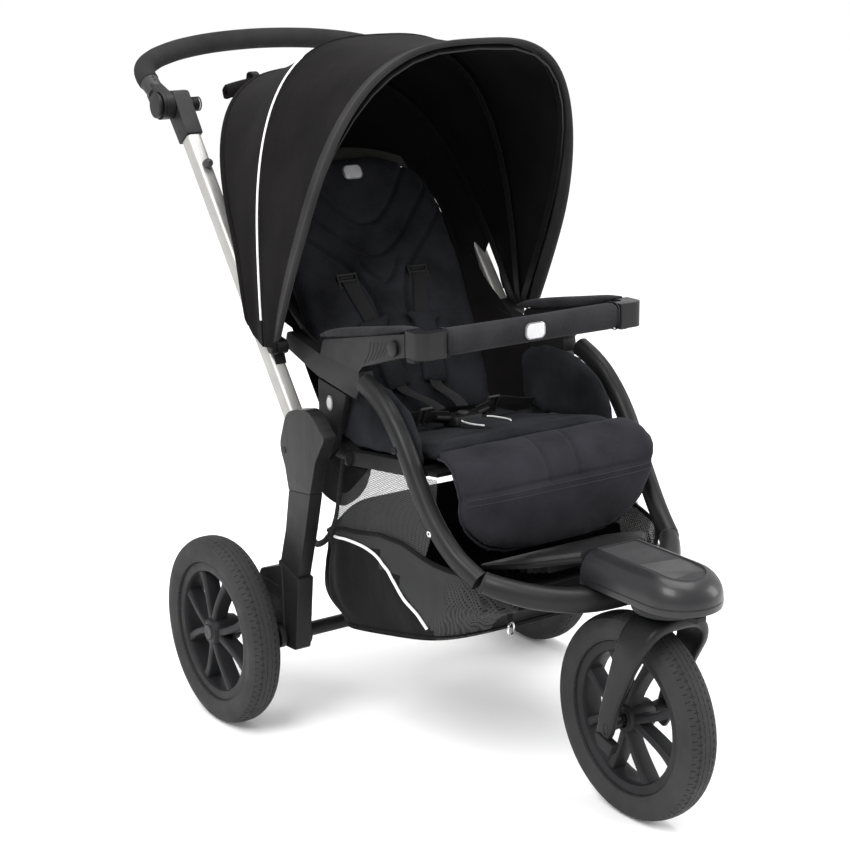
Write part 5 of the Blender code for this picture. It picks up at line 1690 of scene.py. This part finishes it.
# ---- leg flap ----
flap_line = [(-0.3935, 0.485, 0.162), (-0.41, 0.488, 0.167), (-0.428, 0.486, 0.171),
             (-0.444, 0.478, 0.1745), (-0.454, 0.463, 0.1755), (-0.459, 0.443, 0.1745),
             (-0.4605, 0.42, 0.17), (-0.46, 0.398, 0.16), (-0.459, 0.378, 0.142),
             (-0.4575, 0.363, 0.117), (-0.456, 0.354, 0.088), (-0.455, 0.35, 0.055)]
flap_stations = smooth_path(flap_line, 5)
flap_rows, flap_normals = [], []
for n, (y, z, half) in enumerate(flap_stations):
    ahead = flap_stations[min(n + 1, len(flap_stations) - 1)]
    behind = flap_stations[max(n - 1, 0)]
    normal = Vector((0, ahead[1] - behind[1], -(ahead[0] - behind[0]))).normalized()
    flap_rows.append([Vector((half * v, y + 0.01 * v ** 4 * step01(0.47 - z, 0.0, 0.06), z))
                      for v in spaced(44)])
    flap_normals.append([normal] * 45)
flap_pad = puffed(lens(flap_rows, flap_normals, lambda u, v: (0.0062 - 0.003 * u)
                       + (0.004 - 0.002 * u) * (1 - abs(v) ** 6)), cap=0.005, slack=0.02)
flap_path = np.array([(y, z) for y, z, _ in flap_stations])
flap_along = np.concatenate([[0], np.cumsum(np.linalg.norm(np.diff(flap_path, axis=0), axis=1))])


def flap_places(co):
    """Across the flap, and along it from the knee down."""
    nearest = np.argmin(np.linalg.norm(co[:, None, 1:] - flap_path[None], axis=2), axis=1)
    low = np.maximum(nearest - 1, 0)
    high = np.minimum(nearest + 1, len(flap_path) - 1)
    d = flap_path[high] - flap_path[low]
    t = ((co[:, 1:] - flap_path[low]) * d).sum(axis=1) / (d ** 2).sum(axis=1)
    along = flap_along[low] + (flap_along[high] - flap_along[low]) * t
    return np.stack([co[:, 0], along], axis=1)


def flap_front(co):
    y, z = co[:, 1], co[:, 2]
    ahead = np.clip((-y - 0.455) / 0.004, 0, 1)
    above = np.clip((z - 0.485) / 0.004, 0, 1)
    from_knee = np.hypot(np.minimum(y + 0.425, 0), np.maximum(z - 0.455, 0))
    knee = np.clip((from_knee - 0.03) / 0.004, 0, 1)
    return np.maximum(np.maximum(ahead, above), knee * (z > 0.455))


SEAM_DOWN = 0.088
down_seam = [(0.03, 0.014), (0.029, 0.04), (0.026, SEAM_DOWN)]
top_seam = [(0.03, 0.014), (0.085, 0.01), (0.16, -0.004)]
cross_seam = [(-0.172, SEAM_DOWN), (0.172, SEAM_DOWN)]
out_of_knee = Vector((0, -0.8, 0.6))
carve(flap_pad, flap_places, flap_front,
      [down_seam, mirrored(down_seam), top_seam, mirrored(top_seam)], 0.0026, 0.0028, out_of_knee)
carve(flap_pad, flap_places, flap_front, [cross_seam], 0.0018, 0.0026, -Y)
flap_reach = pad_border(flap_pad, flap_places, list(flap_along))
flap_edge = both_sides([Vector((reach, *row[-1].yz)) for row, reach in zip(flap_rows, flap_reach)
                        if reach > 0.02])


def hinged(obj):
    """Free a piece of the flap from its body and bake its place into its mesh."""
    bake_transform(unride(obj))


hinged(piece("leg_flap_piping", tube(flap_edge, 0.002, 8), "flap", "leg_rest"))
hinged(cushion("leg_flap_pad", flap_pad, "flap", "leg_rest", "leg_flap"))
board_side = [Vector(p) for p in ((-0.396, 0.46), (-0.41, 0.464), (-0.4385, 0.448),
                                  (-0.444, 0.43), (-0.444, 0.372), (-0.44, 0.372),
                                  (-0.44, 0.428), (-0.4345, 0.443), (-0.409, 0.457),
                                  (-0.396, 0.453))]
piece("leg_rest_shell", slab(board_side, -0.128, 0.128, 0.001), "plastic", "leg_rest",
      "leg_rest_board")
for k, gap in enumerate((-0.0042, 0.0042)):
    z = 0.4385 + gap
    places, ups = surface_line(flap_pad, [(x / 1000, -0.6, z) for x in range(-168, 169, 4)], Y)
    hinged(stitches(f"flap_seam_stitches_{k}", places, ups, "thread", "leg_rest", 0.0044, 0.003,
                    0.00038))
for s, sign in SIDES.items():
    starts = [on_back(along, 0.3, (half - 0.01) * sign) for along, half in back_stations]
    places, ups = surface_line(back_pad, starts, -back_out)
    stitches(f"back_edge_stitches_{s}", places, ups, "dark_thread", "backrest")

# ---- harness ----
def strap_on(mesh, line, aim, half, thick, lift):
    """Stations of a flat strap that lies on a pad under a line of starting points."""
    tree = pad_tree(mesh)
    stations = []
    for p in line:
        hit, _, _, _ = tree.ray_cast(p - aim * 0.3 + ORIGIN, aim)
        spot = (hit - ORIGIN if hit is not None else p) - aim * (lift + thick)
        stations.append((*spot, half, thick))
    return stations


def flat_strap(name, stations, side, body, count=4, stands_for=()):
    return piece(name, sweep(stations, side, 0.45, count, 3), "strap", body, stands_for)


def slide_buckle(name, at, run, cross, offsets, half_cross, half_run, bar, look, body):
    """A flat wire frame with three cross bars that webbing threads through."""
    bars = []
    for offset in offsets:
        middle = at + run * offset
        bars.append(sweep([(*(middle + cross * u), *bar) for u in (-half_cross, half_cross)],
                          run, 0.4, 1, 3))
    for end in (-1, 1):
        middle = at + cross * half_cross * end
        bars.append(sweep([(*(middle + run * v), *bar) for v in (-half_run, half_run)],
                          cross, 0.4, 1, 3))
    piece(name, merged(*bars), look, body)


WEB = [(0.066, 0.235), (0.0645, 0.22), (0.056, 0.19), (0.047, 0.16), (0.044, 0.145)]
SHOULDER = [(0.046, 0.156), (0.043, 0.135), (0.04, 0.1), (0.037, 0.07),
            (0.033, 0.048)]
for s, sign in SIDES.items():
    web_line = [on_back(v, 0.0, u * sign) for u, v in smooth_path(WEB, 3)]
    stations = strap_on(back_pad, web_line, -back_out, 0.0125, 0.0009, 0.0006)
    flat_strap(f"shoulder_web_{s}", stations, X, "backrest",
               stands_for="harness" if s == "right" else ())
    pad_line = [on_back(v, 0.0, u * sign) for u, v in smooth_path(SHOULDER, 3)]
    stations = strap_on(back_pad, pad_line, -back_out, 0.0215, 0.0045, 0.0012)
    wide = [(x, y, z, 0.029 if n < 2 else a, b * (0.8 if n < 2 else 1))
            for n, (x, y, z, a, b) in enumerate(stations)]
    pad_mesh = puffed(sweep(wide, X, 0.45, 3, 4, 0.003), voxel=0.0035, cap=0.0022, last=12)
    cushion(f"shoulder_pad_{s}", pad_mesh, "seat", "backrest")
    glide_at = Vector(strap_on(back_pad, [on_back(0.227, 0.0, 0.0655 * sign)], -back_out,
                               0.0, 0.001, 0.001)[0][:3])
    slide_buckle(f"tri_glide_{s}", glide_at, back_dir, X, (-0.01, 0.0, 0.01), 0.0165, 0.0115,
                 (0.0022, 0.0018), "plastic", "backrest")
    lower = [(0.033 * sign, *on_back(0.052, 0.007)[1:], 0.01, 0.0009),
             (0.03 * sign, *on_back(0.036, 0.013)[1:], 0.01, 0.0009),
             (0.024 * sign, -0.17, 0.501, 0.01, 0.0009),
             (0.02 * sign, -0.196, 0.493, 0.01, 0.0009)]
    flat_strap(f"buckle_web_{s}", lower, X, "backrest")
    waist = [(0.156 * sign, -0.19, 0.476, 0.011, 0.001),
             (0.12 * sign, -0.198, 0.483, 0.011, 0.001),
             (0.08 * sign, -0.208, 0.493, 0.011, 0.001),
             (0.045 * sign, -0.215, 0.49, 0.011, 0.001),
             (0.025 * sign, -0.218, 0.487, 0.011, 0.001)]
    flat_strap(f"waist_web_{s}", waist, Vector((0, -0.45, 0.9)), "main_frame", count=6)
    lock_at = Vector((0.062 * sign, -0.212, 0.4925))
    lock_across = Vector((0, -0.45, 0.9)).normalized()
    slide_buckle(f"ladder_lock_{s}", lock_at, X, lock_across, (-0.009, 0.001, 0.009), 0.015,
                 0.01, (0.0018, 0.0024), "grey_plastic", "main_frame")

buckle_up = Vector((0, 0.165, 0.986)).normalized()
buckle_along = Vector((0, -0.986, 0.165)).normalized()
buckle_at = Vector((0, -0.225, 0.4815))
shield = rounded(0.027, 0.021, 0.009, 6)


def buckle_ring(scale_u, scale_v, lift):
    return [buckle_at + X * u * scale_u + buckle_along * v * scale_v + buckle_up * lift
            for u, v in shield]


shell = skin([buckle_ring(*ring) for ring in (
    (0.9, 0.9, -0.0075), (1.0, 1.0, -0.006), (1.0, 1.0, 0.004), (0.95, 0.95, 0.0066),
    (0.84, 0.84, 0.0078), (0.38, 0.48, 0.008), (0.38, 0.48, 0.001))])
tongues = []
for sign in SIDES.values():
    tongues.append(sweep([(0.024 * sign, -0.218, 0.485, 0.0125, 0.004),
                          (0.04 * sign, -0.215, 0.488, 0.0135, 0.0036),
                          (0.047 * sign, -0.214, 0.4895, 0.0135, 0.003)],
                         buckle_along, 0.4, 3, 3))
piece("buckle_shell", merged(shell, *tongues), "plastic", "main_frame", "harness_buckle")
middle = sum(place_box("buckle_button"), Vector()) / 2
press = [(-0.0016, CORE), (-0.0016, 0.0088), (0.0006, 0.0088), (0.0014, 0.0078), (0.001, 0.004),
         (0.0008, CORE)]
piece("buckle_button_cap", lathe(press, middle, 32, axis="Z"), "grey_plastic", "buckle_button",
      "buckle_button")
crotch = [(0.0, -0.246, 0.483, 0.023, 0.003), (0.0, -0.262, 0.483, 0.03, 0.0045),
          (0.0, -0.285, 0.4845, 0.033, 0.005), (0.0, -0.305, 0.487, 0.031, 0.0045),
          (0.0, -0.32, 0.4895, 0.024, 0.003)]
crotch_pad = puffed(sweep(crotch, X, 0.45, 6, 4, 0.003), voxel=0.0035, cap=0.0025, last=12)
cushion("crotch_pad", crotch_pad, "seat", "main_frame")
for s, sign in SIDES.items():
    line = [Vector(((a - 0.004) * sign, y, z + b + 0.0022))
            for _, y, z, a, b in smooth_path(crotch, 5)]
    piece(f"crotch_piping_{s}", tube(line[3:-3], 0.0013, 8), "piping", "main_frame")

# ---- bumper sleeve and armrest pads ----
sleeve_profile = rounded(0.0155, 0.019, 0.011, 5)


def sleeve_ring(x, scale):
    """The sleeve's section about the middle of the bumper bar."""
    return [Vector((x, -0.3912 + u * scale, 0.6482 + v * scale)) for u, v in sleeve_profile]


sleeve_rings = []
for n in range(61):
    t = n / 60
    x = lerp(-0.1505, 0.1505, t)
    squeeze = 0.92 + 0.08 * step01(min(t, 1 - t), 0.0, 0.03)
    sleeve_rings.append(sleeve_ring(x, squeeze))
sleeve_pad = puffed(skin(sleeve_rings), voxel=0.0045, cap=0.0028, last=14)
cushion("bumper_sleeve_pad", sleeve_pad, "grey_cloth", "bumper", "bumper_sleeve")
for s, sign in SIDES.items():
    piece(f"sleeve_hem_{s}", tube(sleeve_ring(0.148 * sign, 1.03), 0.001, 6, closed=True),
          "grey_cloth", "bumper")
badge("bumper_badge", Vector((-0.006, -0.4096, 0.649)), X, Z, -Y, 0.0175, 0.012, "bumper")
arm_pad_line = [(-0.128, 0.6175, 0.01, 0.0026), (-0.16, 0.626, 0.017, 0.004),
                (-0.215, 0.636, 0.018, 0.005), (-0.285, 0.649, 0.0175, 0.0046),
                (-0.345, 0.662, 0.015, 0.0034), (-0.366, 0.667, 0.01, 0.0022)]
for s, sign in SIDES.items():
    stations = [(0.18 * sign, y, z, a, b) for y, z, a, b in arm_pad_line]
    arm_pad = puffed(sweep(stations, X, 0.4, 6, 4, 0.004), voxel=0.004, cap=0.003, last=14)
    cushion(f"armrest_pad_{s}", arm_pad, "grey_cloth", "main_frame")

# ---- the canopy's bows keep their own shapes ----
for name in ("canopy_front_bow", "canopy_middle_bow", "canopy_rear_bow"):
    for holder in nodes[name].material_slots:
        holder.material = LOOKS["plastic"]
for s, sign in SIDES.items():
    head = lathe([(0.0, CORE), (0.0, 0.0085), (0.0022, 0.008), (0.003, 0.006), (0.003, CORE)],
                 Vector((0.232 * sign, CANOPY.y, CANOPY.z)), 32, flip=sign)
    piece(f"canopy_pivot_cap_{s}", head, "plastic", "push_frame")


# ---- studio ----
FLOOR = 80
floor_mesh = bpy.data.meshes.new("studio_floor")
floor_mesh.from_pydata([(x, y, 0) for x, y in ((-FLOOR, -FLOOR), (FLOOR, -FLOOR), (FLOOR, FLOOR),
                                             (-FLOOR, FLOOR))], [], [(0, 1, 2, 3)])
floor = bpy.data.objects.new("studio_floor", floor_mesh)
bpy.context.scene.collection.objects.link(floor)
floor_mesh.materials.append(shader("studio_floor", (0.96, 0.96, 0.96), 0.9,
                                   Specular_IOR_Level=0.1))
bpy.context.scene.view_settings.view_transform = "Standard"
world = bpy.data.worlds.new("studio")
world.use_nodes = True
backdrop = world.node_tree.nodes["Background"].inputs
backdrop["Color"].default_value = (1, 1, 1, 1)
backdrop["Strength"].default_value = 1.05
bpy.context.scene.world = world


def softbox(name, at, aim, size, power):
    lamp = bpy.data.objects.new(name, bpy.data.lights.new(name, "AREA"))
    bpy.context.scene.collection.objects.link(lamp)
    lamp.data.shape = "RECTANGLE"
    lamp.data.size, lamp.data.size_y = size
    lamp.data.energy = power
    lamp.matrix_world = (Matrix.Translation(at)
                         @ (Vector(aim) - Vector(at)).to_track_quat("-Z", "Y").to_matrix().to_4x4())


softbox("key", (-2.2, -1.2, 2.8), (0, 0, 0.5), (1.6, 1.6), 95)
softbox("top", (0.3, -0.3, 3.2), (0, -0.1, 0.5), (2.2, 2.2), 70)
softbox("side", (2.6, -1.6, 1.4), (0, -0.2, 0.5), (1.2, 1.8), 45)
